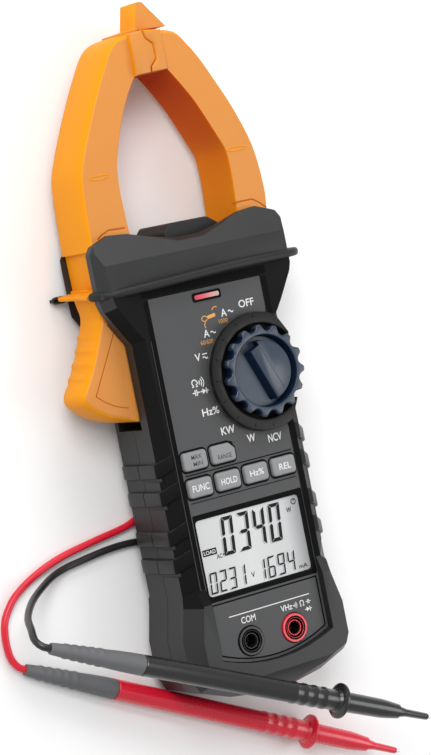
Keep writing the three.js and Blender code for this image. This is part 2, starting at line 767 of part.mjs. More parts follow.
function probeHandle() {
  const rim = guardDiscRadius;
  const handle = turned([
    [sleeveLength + gap, 0], [sleeveLength + gap, probeRadius], [guardDiscAt - 1.4, probeRadius],
    [guardDiscAt - 1.2, rim - 0.6], [guardDiscAt - 0.6, rim], [guardDiscAt + 0.6, rim],
    [guardDiscAt + 1.2, rim - 0.6], [guardDiscAt + 1.4, probeRadius], [noseEnd - 9, probeRadius],
    [noseEnd - 4, 3.6], [noseEnd, 1.9], [tipSleeveEnd, 1.5], [tipSleeveEnd, 0],
  ]);
  return handle.subtract(turned([[noseEnd, 0], [noseEnd, 1], [probeLength, 1], [probeLength, 0]], 12));
}

function probeTip() {
  const start = noseEnd + gap;
  return turned([
    [start, 0], [start, 0.7], [probeLength - 0.8, 0.7], [probeLength, 0.2], [probeLength, 0],
  ], 12);
}

function plugBody() {
  const outside = turned([
    [0, 0], [0, 2.4], [3, 2.8], [8, plugRadius], [plugShroudAt, plugRadius], [plugShroudAt + 1, 4.1],
    [plugLength, 4.1], [plugLength, 0],
  ]);
  const bore = turned([
    [plugShroudAt, 0], [plugShroudAt, 3.1], [plugLength + 1, 3.1], [plugLength + 1, 0],
  ]);
  return outside.subtract(bore);
}

function plugPin() {
  const start = plugShroudAt + gap;
  return turned([
    [start, 0], [start, 2], [plugLength - 2, 2], [plugLength - 1, 1.4], [plugLength - 1, 0],
  ], 16);
}

for (const lead of leads) {
  const plugTo = [lead.plugFrom[0], lead.plugFrom[1] - 1, lead.plugFrom[2]];
  aimed(add(`${lead.name}_probe_sleeve`, probeSleeve(), 0x76787a, 0.7), lead.probeFrom, lead.probeTo);
  aimed(add(`${lead.name}_probe_handle`, probeHandle(), lead.color, 0.4), lead.probeFrom, lead.probeTo);
  aimed(add(`${lead.name}_probe_tip`, probeTip(), steel, 0.25, 1), lead.probeFrom, lead.probeTo);
  add(`${lead.name}_lead`, cordTube(lead.route), lead.color, 0.5);
  add(`${lead.name}_lead_coil`, coilSolid(lead.coilY), lead.color, 0.5);
  add(`${lead.name}_lead_tail`, cordTube(lead.tail), lead.color, 0.5);
  aimed(add(`${lead.name}_plug`, plugBody(), lead.color, 0.5), lead.plugFrom, plugTo);
  aimed(add(`${lead.name}_plug_pin`, plugPin(), brass, 0.35, 1), lead.plugFrom, plugTo);
}

export default instrument;
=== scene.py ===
import json
import math

import bmesh
import bpy
import numpy as np
from mathutils import Matrix, Vector


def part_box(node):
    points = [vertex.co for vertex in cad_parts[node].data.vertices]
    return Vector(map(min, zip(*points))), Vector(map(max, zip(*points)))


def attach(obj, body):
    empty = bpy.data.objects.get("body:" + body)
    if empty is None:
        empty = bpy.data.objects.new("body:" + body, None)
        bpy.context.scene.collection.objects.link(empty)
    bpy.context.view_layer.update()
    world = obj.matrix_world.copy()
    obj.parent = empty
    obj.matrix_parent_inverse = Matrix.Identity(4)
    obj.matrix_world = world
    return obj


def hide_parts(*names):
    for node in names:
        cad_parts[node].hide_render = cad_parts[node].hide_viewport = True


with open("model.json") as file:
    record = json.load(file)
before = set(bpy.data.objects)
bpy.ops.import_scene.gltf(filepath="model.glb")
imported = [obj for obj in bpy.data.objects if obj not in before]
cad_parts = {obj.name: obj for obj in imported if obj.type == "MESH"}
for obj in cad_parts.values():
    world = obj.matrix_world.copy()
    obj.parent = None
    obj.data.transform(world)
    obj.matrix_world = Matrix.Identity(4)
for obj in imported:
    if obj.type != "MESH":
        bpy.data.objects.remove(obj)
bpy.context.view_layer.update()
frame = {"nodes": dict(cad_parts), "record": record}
nodes = frame["nodes"]
mm = 0.001


def spot(node):
    # middle of a CAD node's box
    low, high = (np.array(corner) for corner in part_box(node))
    return (low + high) / 2


dialX, dialY = spot("dial_ring")[:2]
comSpot, voltSpot = spot("jack_com"), spot("jack_volt")
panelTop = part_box("control_panel")[1][2]
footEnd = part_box("rear_casing")[0][1]
middleX = (comSpot[0] + voltSpot[0]) / 2
origin = np.array([middleX, footEnd, 0.0])


def at(points):
    # points given in mm from the middle of the foot's end, in the frame's metres
    return np.asarray(points, float) * mm + origin


print("frame loaded:", len(nodes), "nodes")

# the camera looks along a line set by yaw and tilt, and turns about that line by roll
view = {"yaw": 31.55, "tilt": -3.79, "roll": 11.24, "distance": 1161, "target": (0, 150, 18),
        "slide": (11.39, -10.67), "lens": 126.63}


def makeCamera():
    yaw, tilt, roll = (math.radians(view[key]) for key in ("yaw", "tilt", "roll"))
    back = Vector((-math.sin(yaw) * math.cos(tilt), -math.sin(tilt), math.cos(yaw) * math.cos(tilt)))
    right = Vector((0, 1, 0)).cross(back).normalized()
    up = back.cross(right)
    turnedRight = math.cos(roll) * right - math.sin(roll) * up
    turnedUp = math.sin(roll) * right + math.cos(roll) * up
    slideX, slideY = view["slide"]
    offset = view["distance"] * back + slideX * turnedRight + slideY * turnedUp
    data = bpy.data.cameras.new("camera")
    data.lens = view["lens"]
    data.sensor_width = 36
    data.clip_start = 0.05
    data.clip_end = 20
    camera = bpy.data.objects.new("camera", data)
    bpy.context.collection.objects.link(camera)
    axes = Matrix((turnedRight, turnedUp, back)).transposed()
    camera.matrix_world = Matrix.Translation(Vector(at(view["target"])) + mm * offset) @ axes.to_4x4()
    bpy.context.scene.camera = camera


makeCamera()
print("camera set")


# shared effects are node groups, and each finish sets its own values on one of them
def newGroup(name, inputs, outputs):
    tree = bpy.data.node_groups.new(name, "ShaderNodeTree")
    for label, kind, value in inputs:
        socket = tree.interface.new_socket(label, in_out="INPUT", socket_type=kind)
        socket.default_value = value
    for label, kind in outputs:
        tree.interface.new_socket(label, in_out="OUTPUT", socket_type=kind)
    return tree, tree.nodes.new("NodeGroupInput"), tree.nodes.new("NodeGroupOutput")


def mathNode(tree, operation, first, second):
    node = tree.nodes.new("ShaderNodeMath")
    node.operation = operation
    for socket, value in zip(node.inputs, (first, second)):
        if isinstance(value, (int, float)):
            socket.default_value = value
        else:
            tree.links.new(value, socket)
    return node.outputs[0]


def makeMouldedGrain():
    # fine spark-eroded grain over slow cloudy changes of tone
    tree, inside, outside = newGroup(
        "mouldedGrain",
        [("Color", "NodeSocketColor", (0.5, 0.5, 0.5, 1)), ("Vary", "NodeSocketFloat", 0.1),
         ("Grain", "NodeSocketFloat", 1200), ("Roughness", "NodeSocketFloat", 0.5),
         ("Rough Vary", "NodeSocketFloat", 0.05)],
        [("Color", "NodeSocketColor"), ("Roughness", "NodeSocketFloat"), ("Height", "NodeSocketFloat")])
    place = tree.nodes.new("ShaderNodeTexCoord")
    fine = tree.nodes.new("ShaderNodeTexNoise")
    slow = tree.nodes.new("ShaderNodeTexNoise")
    slow.inputs["Scale"].default_value = 38
    slow.inputs["Detail"].default_value = 3
    fine.inputs["Detail"].default_value = 2
    for noise in (fine, slow):
        tree.links.new(place.outputs["Object"], noise.inputs["Vector"])
    tree.links.new(inside.outputs["Grain"], fine.inputs["Scale"])
    cloud = mathNode(tree, "SUBTRACT", slow.outputs["Fac"], 0.5)
    speck = mathNode(tree, "SUBTRACT", fine.outputs["Fac"], 0.5)
    both = mathNode(tree, "ADD", cloud, mathNode(tree, "MULTIPLY", speck, 0.6))
    tone = mathNode(tree, "ADD", mathNode(tree, "MULTIPLY", both, inside.outputs["Vary"]), 1.0)
    shade = tree.nodes.new("ShaderNodeVectorMath")
    shade.operation = "SCALE"
    tree.links.new(inside.outputs["Color"], shade.inputs[0])
    tree.links.new(tone, shade.inputs["Scale"])
    tree.links.new(shade.outputs[0], outside.inputs["Color"])
    rough = mathNode(tree, "MULTIPLY", both, inside.outputs["Rough Vary"])
    tree.links.new(mathNode(tree, "ADD", rough, inside.outputs["Roughness"]), outside.inputs["Roughness"])
    tree.links.new(fine.outputs["Fac"], outside.inputs["Height"])
    return tree


def makeDrawnStreaks():
    # drawn streaks round a turned or plated metal piece
    tree, inside, outside = newGroup(
        "drawnStreaks",
        [("Color", "NodeSocketColor", (0.6, 0.6, 0.6, 1)), ("Streaks", "NodeSocketFloat", 900),
         ("Roughness", "NodeSocketFloat", 0.3)],
        [("Color", "NodeSocketColor"), ("Roughness", "NodeSocketFloat"), ("Height", "NodeSocketFloat")])
    place = tree.nodes.new("ShaderNodeTexCoord")
    stretch = tree.nodes.new("ShaderNodeMapping")
    stretch.inputs["Scale"].default_value = (1, 1, 0.06)
    noise = tree.nodes.new("ShaderNodeTexNoise")
    tree.links.new(place.outputs["Object"], stretch.inputs["Vector"])
    tree.links.new(stretch.outputs[0], noise.inputs["Vector"])
    tree.links.new(inside.outputs["Streaks"], noise.inputs["Scale"])
    tone = mathNode(tree, "ADD", mathNode(tree, "MULTIPLY", noise.outputs["Fac"], 0.3), 0.85)
    shade = tree.nodes.new("ShaderNodeVectorMath")
    shade.operation = "SCALE"
    tree.links.new(inside.outputs["Color"], shade.inputs[0])
    tree.links.new(tone, shade.inputs["Scale"])
    tree.links.new(shade.outputs[0], outside.inputs["Color"])
    rough = mathNode(tree, "MULTIPLY", noise.outputs["Fac"], 0.12)
    tree.links.new(mathNode(tree, "ADD", rough, inside.outputs["Roughness"]), outside.inputs["Roughness"])
    tree.links.new(noise.outputs["Fac"], outside.inputs["Height"])
    return tree


mouldedGrain = makeMouldedGrain()
drawnStreaks = makeDrawnStreaks()

# colour, roughness, tone change, grains per metre, bump strength, coat weight
plastics = {
    "casing": ((0.021, 0.0215, 0.022), 0.42, 0.30, 1500, 0.10, 0.0),
    # the next one is painted shade, for the casing's front beside the panel and the bands' ends on the left
    # slope
    "casingPaintedShade": ((0.0045, 0.0045, 0.0047), 0.62, 0.30, 1500, 0.08, 0.0),
    "casingRubber": ((0.014, 0.0145, 0.015), 0.52, 0.30, 1100, 0.16, 0.0),
    "panel": ((0.060, 0.061, 0.063), 0.50, 0.16, 1700, 0.07, 0.0),
    # the next one is black for trims and marks, and painted shade in wells, sockets and gaps
    "blackTrimAndShade": ((0.0022, 0.0022, 0.0024), 0.65, 0.30, 1500, 0.05, 0.0),
    "orange": ((0.60, 0.235, 0.050), 0.42, 0.07, 900, 0.05, 0.05),
    # the next one is the orange painted lighter for the jaws' sides, and the one after a darker orange of
    # painted shade
    "orangeSidePaintedLight": ((0.80, 0.285, 0.004), 0.46, 0.07, 900, 0.05, 0.0),
    "orangeShadeAndSeams": ((0.40, 0.085, 0.008), 0.55, 0.10, 900, 0.05, 0.0),
    "navy": ((0.026, 0.040, 0.064), 0.36, 0.20, 1500, 0.06, 0.10),
    # the next one is the knob's navy darkened as painted shade, also used for the pointer's line
    "navyShadeAndMark": ((0.003, 0.010, 0.028), 0.50, 0.20, 1500, 0.06, 0.0),
    "ring": ((0.0055, 0.0055, 0.0050), 0.45, 0.20, 1500, 0.06, 0.0),
    "key": ((0.235, 0.238, 0.243), 0.55, 0.10, 1600, 0.10, 0.0),
    "jackBlack": ((0.009, 0.009, 0.010), 0.22, 0.20, 1500, 0.03, 0.2),
    "jackRed": ((0.62, 0.018, 0.035), 0.26, 0.12, 1500, 0.03, 0.2),
    "cordRed": ((0.66, 0.006, 0.028), 0.34, 0.12, 1300, 0.05, 0.1),
    "cordBlack": ((0.012, 0.012, 0.013), 0.34, 0.25, 1300, 0.05, 0.1),
    "probeRed": ((0.68, 0.008, 0.030), 0.27, 0.08, 1300, 0.03, 0.3),
    "probeBlack": ((0.012, 0.012, 0.013), 0.27, 0.25, 1300, 0.03, 0.3),
    "sleeve": ((0.115, 0.117, 0.122), 0.60, 0.20, 1100, 0.14, 0.0),
    "board": ((0.03, 0.14, 0.07), 0.40, 0.20, 700, 0.05, 0.2),
    "white": ((0.66, 0.64, 0.57), 0.45, 0.06, 900, 0.05, 0.0),
    "batteryCan": ((0.05, 0.06, 0.08), 0.30, 0.15, 900, 0.03, 0.3),
    "printWhite": ((0.66, 0.66, 0.655), 0.45, 0.10, 2500, 0.05, 0.0),
    "printOrange": ((0.68, 0.30, 0.06), 0.45, 0.10, 2500, 0.05, 0.0),
    "printDark": ((0.045, 0.045, 0.05), 0.45, 0.10, 2500, 0.05, 0.0),
    "segment": ((0.004, 0.004, 0.005), 0.45, 0.10, 2500, 0.02, 0.0),
    "segmentShade": ((0.33, 0.335, 0.34), 0.40, 0.06, 2500, 0.02, 0.0),
}
# how strongly each finish mirrors, where it is not the usual half
mirrored = {"casing": 0.35, "casingPaintedShade": 0.12, "casingRubber": 0.3, "panel": 0.3, "blackTrimAndShade": 0.08,
            "ring": 0.3, "navyShadeAndMark": 0.15, "orange": 0.22, "orangeSidePaintedLight": 0.12, "orangeShadeAndSeams": 0.1,
            "segment": 0.15, "jackBlack": 0.35, "key": 0.3, "orangeWallPaintedShade": 0.1}
metals = {
    "steel": ((0.66, 0.67, 0.68), 0.24, 900),
    "brass": ((0.78, 0.60, 0.30), 0.26, 900),
    "core": ((0.32, 0.33, 0.34), 0.38, 2600),
}


def groupedMaterial(name, group):
    material = bpy.data.materials.new(name)
    material.use_nodes = True
    tree = material.node_tree
    shader = tree.nodes["Principled BSDF"]
    pattern = tree.nodes.new("ShaderNodeGroup")
    pattern.node_tree = group
    tree.links.new(pattern.outputs["Color"], shader.inputs["Base Color"])
    tree.links.new(pattern.outputs["Roughness"], shader.inputs["Roughness"])
    bump = tree.nodes.new("ShaderNodeBump")
    bump.inputs["Distance"].default_value = 0.0004
    tree.links.new(pattern.outputs["Height"], bump.inputs["Height"])
    tree.links.new(bump.outputs[0], shader.inputs["Normal"])
    return material, pattern, shader, bump


def makePlastic(name):
    color, rough, vary, grain, strength, coat = plastics[name]
    material, pattern, shader, bump = groupedMaterial(name, mouldedGrain)
    pattern.inputs["Color"].default_value = (*color, 1)
    pattern.inputs["Roughness"].default_value = rough
    pattern.inputs["Vary"].default_value = vary
    pattern.inputs["Grain"].default_value = grain
    bump.inputs["Strength"].default_value = strength
    shader.inputs["Coat Weight"].default_value = coat
    shader.inputs["Coat Roughness"].default_value = 0.2
    shader.inputs["Specular IOR Level"].default_value = mirrored.get(name, 0.5)
    return material


def makeMetal(name):
    color, rough, streaks = metals[name]
    material, pattern, shader, bump = groupedMaterial(name, drawnStreaks)
    pattern.inputs["Color"].default_value = (*color, 1)
    pattern.inputs["Roughness"].default_value = rough
    pattern.inputs["Streaks"].default_value = streaks
    bump.inputs["Strength"].default_value = 0.06
    shader.inputs["Metallic"].default_value = 1
    return material


def rampedMaterial(name, axis, low, high, stops, rough, coat=0.0):
    # colour that runs across the piece along one axis of Object coordinates, from low to high
    material, pattern, shader, bump = groupedMaterial(name, mouldedGrain)
    tree = material.node_tree
    place = tree.nodes.new("ShaderNodeTexCoord")
    split = tree.nodes.new("ShaderNodeSeparateXYZ")
    span = tree.nodes.new("ShaderNodeMapRange")
    span.inputs["From Min"].default_value = low
    span.inputs["From Max"].default_value = high
    ramp = tree.nodes.new("ShaderNodeValToRGB")
    while len(ramp.color_ramp.elements) < len(stops):
        ramp.color_ramp.elements.new(0.5)
    for element, (where, color) in zip(ramp.color_ramp.elements, stops):
        element.position = where
        element.color = (*color, 1)
    tree.links.new(place.outputs["Object"], split.inputs[0])
    tree.links.new(split.outputs[axis], span.inputs["Value"])
    tree.links.new(span.outputs[0], ramp.inputs["Fac"])
    tree.links.new(ramp.outputs["Color"], pattern.inputs["Color"])
    pattern.inputs["Vary"].default_value = 0.05
    pattern.inputs["Grain"].default_value = 1500
    pattern.inputs["Roughness"].default_value = rough
    bump.inputs["Strength"].default_value = 0.02
    shader.inputs["Coat Weight"].default_value = coat
    shader.inputs["Coat Roughness"].default_value = 0.08
    shader.inputs["Specular IOR Level"].default_value = mirrored.get(name, 0.5)
    return material


lcdLow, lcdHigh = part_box("lcd_window")
lampLow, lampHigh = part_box("lamp_window")
finishes = {name: makePlastic(name) for name in plastics}
finishes.update({name: makeMetal(name) for name in metals})
# the display's face is painted with shade, lighter in the middle and darkest at its right edge
finishes["lcd"] = rampedMaterial(
    "lcd", "X", lcdLow[0], lcdHigh[0],
    [(0.0, (0.50, 0.51, 0.505)), (0.45, (0.56, 0.57, 0.57)), (0.84, (0.47, 0.475, 0.48)),
     (1.0, (0.19, 0.195, 0.20))], 0.40, 0.1)
# the lamp's window runs from deep red on the left to a pale pinkish beige on the right
finishes["lamp"] = rampedMaterial(
    "lamp", "X", lampLow[0], lampHigh[0],
    [(0.0, (0.60, 0.008, 0.05)), (0.42, (0.66, 0.10, 0.13)), (0.72, (0.60, 0.30, 0.26)),
     (1.0, (0.50, 0.38, 0.31))], 0.25, 0.4)
# painted shade on the walls of the jaws' window, deepening towards the tips
finishes["orangeWallPaintedShade"] = rampedMaterial(
    "orangeWallPaintedShade", "Y", at((0, 205, 0))[1], at((0, 272, 0))[1],
    [(0.0, (0.80, 0.26, 0.004)), (0.42, (0.74, 0.19, 0.004)), (0.55, (0.66, 0.120, 0.004)),
     (1.0, (0.56, 0.065, 0.004))], 0.6)
print("finishes made:", len(finishes))


# shapes are (points, faces); most are grids of points kept row by row
def gridFaces(rows, columns, wrap=True):
    # quads of a grid of points kept row by row; wrap joins each row's end to its start
    row = np.arange(rows - 1)[:, None] * columns
    column = np.arange(columns if wrap else columns - 1)[None]
    following = (column + 1) % columns
    quads = np.stack([row + column, row + following, row + columns + following, row + columns + column], -1)
    return quads.reshape(-1, 4).tolist()


def endFaces(rows, count):
    # the first and the last row of a grid of points, each closed with one face
    return [list(range(count - 1, -1, -1)), list(range((rows - 1) * count, rows * count))]


def meshObject(name, points, faces, finish, sharp=30):
    mesh = bpy.data.meshes.new(name)
    mesh.from_pydata(np.asarray(points, float).tolist(), [], faces)
    mesh.validate()
    mesh.materials.append(finishes[finish])
    mesh.shade_smooth()
    mesh.set_sharp_from_angle(angle=math.radians(sharp))
    piece = bpy.data.objects.new(name, mesh)
    bpy.context.collection.objects.link(piece)
    return piece


def addPiece(name, points, faces, finish, body="meter", hides=(), sharp=30):
    # a piece that moves with a CAD body, its faces turned outwards; hides names the nodes it replaces
    piece = meshObject(name, points, faces, finish, sharp)
    work = bmesh.new()
    work.from_mesh(piece.data)
    bmesh.ops.remove_doubles(work, verts=work.verts, dist=2e-7)
    bmesh.ops.recalc_face_normals(work, faces=work.faces)
    work.to_mesh(piece.data)
    work.free()
    piece.data.set_sharp_from_angle(angle=math.radians(sharp))
    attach(piece, body)
    if hides:
        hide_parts(*hides)
    return piece


def inset(outline, amount):
    # moves each corner of a counter-clockwise outline inwards, square to both of its edges
    before = outline - np.roll(outline, 1, 0)
    after = np.roll(outline, -1, 0) - outline
    before /= np.linalg.norm(before, axis=1)[:, None]
    after /= np.linalg.norm(after, axis=1)[:, None]
    leftBefore = np.stack([-before[:, 1], before[:, 0]], 1)
    leftAfter = np.stack([-after[:, 1], after[:, 0]], 1)
    mitre = leftBefore + leftAfter
    mitre /= np.maximum(1 + (leftBefore * leftAfter).sum(1), 0.3)[:, None]
    return outline + amount * mitre


def drawnIn(outline, steps, weight=1.0):
    # an outline carried up through steps of (z, amount), each point drawn in by its own share
    outline = np.asarray(outline, float)
    count = len(outline)
    share = np.broadcast_to(np.asarray(weight, float), count)[:, None]
    rings = [np.column_stack([inset(outline, amount * share), np.full(count, z)]) for z, amount in steps]
    return np.concatenate(rings), gridFaces(len(rings), count) + endFaces(len(rings), count)


def roundedOutline(x, y, width, height, corner, turn=0.0, steps=6):
    # corners of a rectangle swept by quarter circles, counter-clockwise
    sweep = np.radians(np.linspace(0, 90, steps))
    points = []
    for sx, sy, start in ((1, -1, -90), (1, 1, 0), (-1, 1, 90), (-1, -1, 180)):
        angle = sweep + math.radians(start)
        points.append(np.column_stack([sx * (width / 2 - corner) + corner * np.cos(angle),
                                       sy * (height / 2 - corner) + corner * np.sin(angle)]))
    points = np.concatenate(points)
    c, s = math.cos(math.radians(turn)), math.sin(math.radians(turn))
    return points @ np.array([[c, s], [-s, c]]) + (x, y)


def lathe(profile, start, toward, sides=40):
    # a profile of (distance along the line, radius) turned about the line from start
    profile = np.asarray(profile, float)
    start, toward = np.asarray(start, float), np.asarray(toward, float)
    along = (toward - start) / np.linalg.norm(toward - start)
    side = np.cross(along, (0, 0, 1.0) if abs(along[2]) < 0.9 else (1.0, 0, 0))
    side /= np.linalg.norm(side)
    other = np.cross(along, side)
    angle = np.linspace(0, 2 * np.pi, sides, endpoint=False)
    around = np.cos(angle)[:, None] * side + np.sin(angle)[:, None] * other
    points = start + profile[:, 0, None, None] * along + profile[:, 1, None, None] * around[None]
    return points.reshape(-1, 3), gridFaces(len(profile), sides)


def prism(outline, z0, z1):
    # a flat outline in X and Y given a thickness
    outline = np.asarray(outline, float)
    count = len(outline)
    points = np.vstack([np.column_stack([outline, np.full(count, z)]) for z in (z0, z1)])
    return points, gridFaces(2, count) + endFaces(2, count)


def stroke(line, width):
    # the outline of a line drawn with a pen of that width
    line = np.asarray(line, float)
    step = np.gradient(line, axis=0)
    step /= np.linalg.norm(step, axis=1)[:, None]
    side = np.column_stack([-step[:, 1], step[:, 0]]) * width / 2
    return np.vstack([line - side, (line + side)[::-1]])


def merged(*shapes):
    # several (points, faces) shapes as one
    points, faces, count = [], [], 0
    for shapePoints, shapeFaces in shapes:
        points.append(np.asarray(shapePoints, float))
        faces.extend([[index + count for index in face] for face in shapeFaces])
        count += len(shapePoints)
    return np.concatenate(points), faces


def keptSide(work, place, facing):
    # cuts a mesh at a plane, clears what lies beyond it and closes the cut
    cut = bmesh.ops.bisect_plane(work, geom=work.verts[:] + work.edges[:] + work.faces[:],
                                 plane_co=place, plane_no=facing, clear_outer=True)
    rim = [part for part in cut["geom_cut"] if isinstance(part, bmesh.types.BMEdge)]
    bmesh.ops.triangle_fill(work, edges=rim, use_beauty=True)


def softened(node, finish, width, segments=3, angle=24, moved=None, painted=None, below=None):
    # a CAD node with its edges rounded; moved gives its points new places, and painted gives the
    # finish of each face from its middle (mm from the middle of the foot's end) and its normal
    work = bmesh.new()
    work.from_mesh(nodes[node].data)
    if moved:
        places = moved((np.array([vertex.co for vertex in work.verts]) - origin) / mm)
        for vertex, place in zip(work.verts, at(places)):
            vertex.co = place
    if below is not None:  # only the part under this Y is kept
        keptSide(work, at((0, below, 0)), (0, 1, 0))
    bmesh.ops.remove_doubles(work, verts=work.verts, dist=5e-6)
    bmesh.ops.dissolve_degenerate(work, edges=work.edges, dist=1e-6)
    bmesh.ops.dissolve_limit(work, angle_limit=math.radians(0.6), verts=work.verts, edges=work.edges)
    work.verts.index_update()
    points = np.array([vertex.co for vertex in work.verts])
    faces = [[vertex.index for vertex in face.verts] for face in work.faces]
    work.free()
    piece = meshObject(node + "_finished", points, faces, finish, angle)
    if painted:
        paint(piece, finish, painted)
    bevel = piece.modifiers.new("edge", "BEVEL")
    bevel.width = width * mm
    bevel.segments = segments
    bevel.limit_method = "ANGLE"
    bevel.angle_limit = math.radians(angle)
    bevel.harden_normals = True
    bevel.use_clamp_overlap = True
    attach(piece, bodyOf(node))
    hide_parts(node)
    return piece


def paint(piece, finish, painted):
    names = [finish]
    for face in piece.data.polygons:
        name = painted((np.array(face.center) - origin) / mm, face.normal) or finish
        if name not in names:
            names.append(name)
            piece.data.materials.append(finishes[name])
        face.material_index = names.index(name)


def bodyOf(node):
    for body, members in frame["record"]["behaviour"]["bodies"].items():
        if node in members:
            return body
    return "meter"


# mm from the middle of the foot's end; each lead runs from its probe along the route, round the
# coil from the entry to the exit angle, and by the tail to the plug
lead = {"diameter": 3.2, "turns": (21.9, 18.7, 15.5), "lowZ": 1.72, "highZ": 4.9, "shift": 1 / 6,
        "inProbe": 137}
leadRoutes = {
    "red": {
        "route": [[-102.6, 34.2, 3.3], [-104.8, 35.9, 2.8], [-106.6, 39.6, 2], [-107.2, 44.8, 1.7],
                  [-106.9, 51, 1.7], [-105, 57.2, 1.7], [-98.9, 64.6, 1.7], [-87.5, 71.2, 1.7],
                  [-73.5, 75.9, 1.7], [-55.7, 79, 1.7], [-38, 81.8, 1.7], [-29.5, 86.5, 1.7],
                  [-25, 94, 1.7], [-22.8, 103, 1.7], [-22.1, 112.8, 1.7]],
        "coil": (0, 126), "entry": 180, "exit": 80, "way": -1,
        "tail": [[16.2, 146.3, 4.7], [24, 145, 3.4], [31, 143.1, 2.3], [37.5, 140.9, 1.9],
                 [41.4, 139.2, 2.5], [43.4, 136.9, 3.9], [43.9, 134.6, 4.7]],
        "plug": (43.9, 133.9, 4.9), "probe": ((-101.8, 33.8, 3.3), (75.3, -51.8, 9.55)),
    },
    "black": {
        "route": [[-112.1, 47.75, 48.85], [-114.5, 49.2, 47.9], [-115.4, 51.9, 44.8],
                  [-113.2, 55.2, 39.5], [-108.3, 59.2, 29], [-97.4, 63.8, 16], [-83.5, 68.4, 6],
                  [-74.5, 70.6, 2.6], [-66.5, 71.8, 1.8], [-50.8, 73.7, 1.7], [-38, 73.9, 1.7],
                  [-30, 72.3, 1.7], [-24.4, 68.6, 1.7]],
        "coil": (0, 77), "entry": 215, "exit": 260, "way": 1,
        "tail": [[14.7, 55.7, 4.7], [23, 55.4, 3.4], [31, 55.8, 2.3], [38, 55.9, 1.9],
                 [43, 54.4, 2.3], [46.3, 51.3, 3.6], [47, 47.4, 4.7]],
        "plug": (47, 46.6, 4.9), "probe": ((-111.3, 47.4, 48.85), (66.5, -30.3, 48.85)),
    },
}


def coilTurns(setting):
    # three turns inwards on the floor and as many outwards on top, each turn stepping aside in a
    # short crossover; the radius and height are tables over the count of turns
    span = (setting["way"] * (setting["exit"] - setting["entry"]) % 360) / 360 + 5
    outer, middle, inner = lead["turns"]
    step = lead["shift"]
    knots = [0, 1 - step, 1, 2 - step, 2, 4, 4 + step, 5, 5 + step, 6]
    radii = [outer, outer, middle, middle, inner, inner, middle, middle, outer, outer]
    turn = np.linspace(0, span, int(span * 20) + 1)
    radius = np.interp(turn, knots, radii)
    height = np.interp(turn, [0, 3 - step, 3, 6], [lead["lowZ"], lead["lowZ"], lead["highZ"], lead["highZ"]])
    angle = np.radians(setting["entry"]) + setting["way"] * 2 * np.pi * turn
    x, y = setting["coil"]
    return np.column_stack([x + radius * np.cos(angle), y + radius * np.sin(angle), height])


def smoothLine(points, spacing):
    # Catmull-Rom through the points, then laid out again at an even spacing
    points = np.asarray(points, float)
    padded = np.vstack([2 * points[0] - points[1], points, 2 * points[-1] - points[-2]])
    t = np.linspace(0, 1, 9)[:-1, None]
    a, b, c, d = (padded[i:len(padded) - 3 + i, None, :] for i in range(4))
    line = 0.5 * (2 * b + (c - a) * t + (2 * a - 5 * b + 4 * c - d) * t ** 2
                  + (3 * b - a - 3 * c + d) * t ** 3)
    line = np.vstack([line.reshape(-1, 3), points[-1]])
    away = np.r_[0, np.cumsum(np.linalg.norm(np.diff(line, axis=0), axis=1))]
    even = np.linspace(0, away[-1], int(away[-1] / spacing) + 1)
    return np.column_stack([np.interp(even, away, line[:, axis]) for axis in range(3)]), away[-1]


def makeLead(color):
    setting = leadRoutes[color]
    # the wire runs on inside the probe, so the line starts there
    back, front = (np.array(point) for point in setting["probe"])
    along = (front - back) / np.linalg.norm(front - back)
    within = back + np.linspace(lead["inProbe"], 3, 20)[:, None] * along
    whole = np.vstack([within, setting["route"], coilTurns(setting), setting["tail"]])[::-1]
    line, length = smoothLine(whole, 2.0)
    curve = bpy.data.curves.new(color + "Lead", "CURVE")
    curve.dimensions = "3D"
    spline = curve.splines.new("POLY")
    spline.points.add(len(line) - 1)
    spline.points.foreach_set("co", np.column_stack([at(line), np.ones(len(line))]).ravel())
    spline.use_smooth = True
    curve.bevel_depth = lead["diameter"] / 2 * mm
    curve.bevel_resolution = 3
    curve.use_fill_caps = True
    curve.materials.append(finishes["cordRed" if color == "red" else "cordBlack"])
    piece = bpy.data.objects.new(color + "Lead", curve)
    bpy.context.collection.objects.link(piece)
    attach(piece, "meter")
    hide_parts(color + "_lead", color + "_lead_coil", color + "_lead_tail")
    print(color, "lead", round(length), "mm")
    return piece, length * mm


# probes and plugs are turned about their own lines
probe = {"radius": 4.55, "guardAt": 145, "guardRadius": 7.8, "grooves": 5, "ridges": 4}
plug = {"radius": 4.7, "grooves": 5}


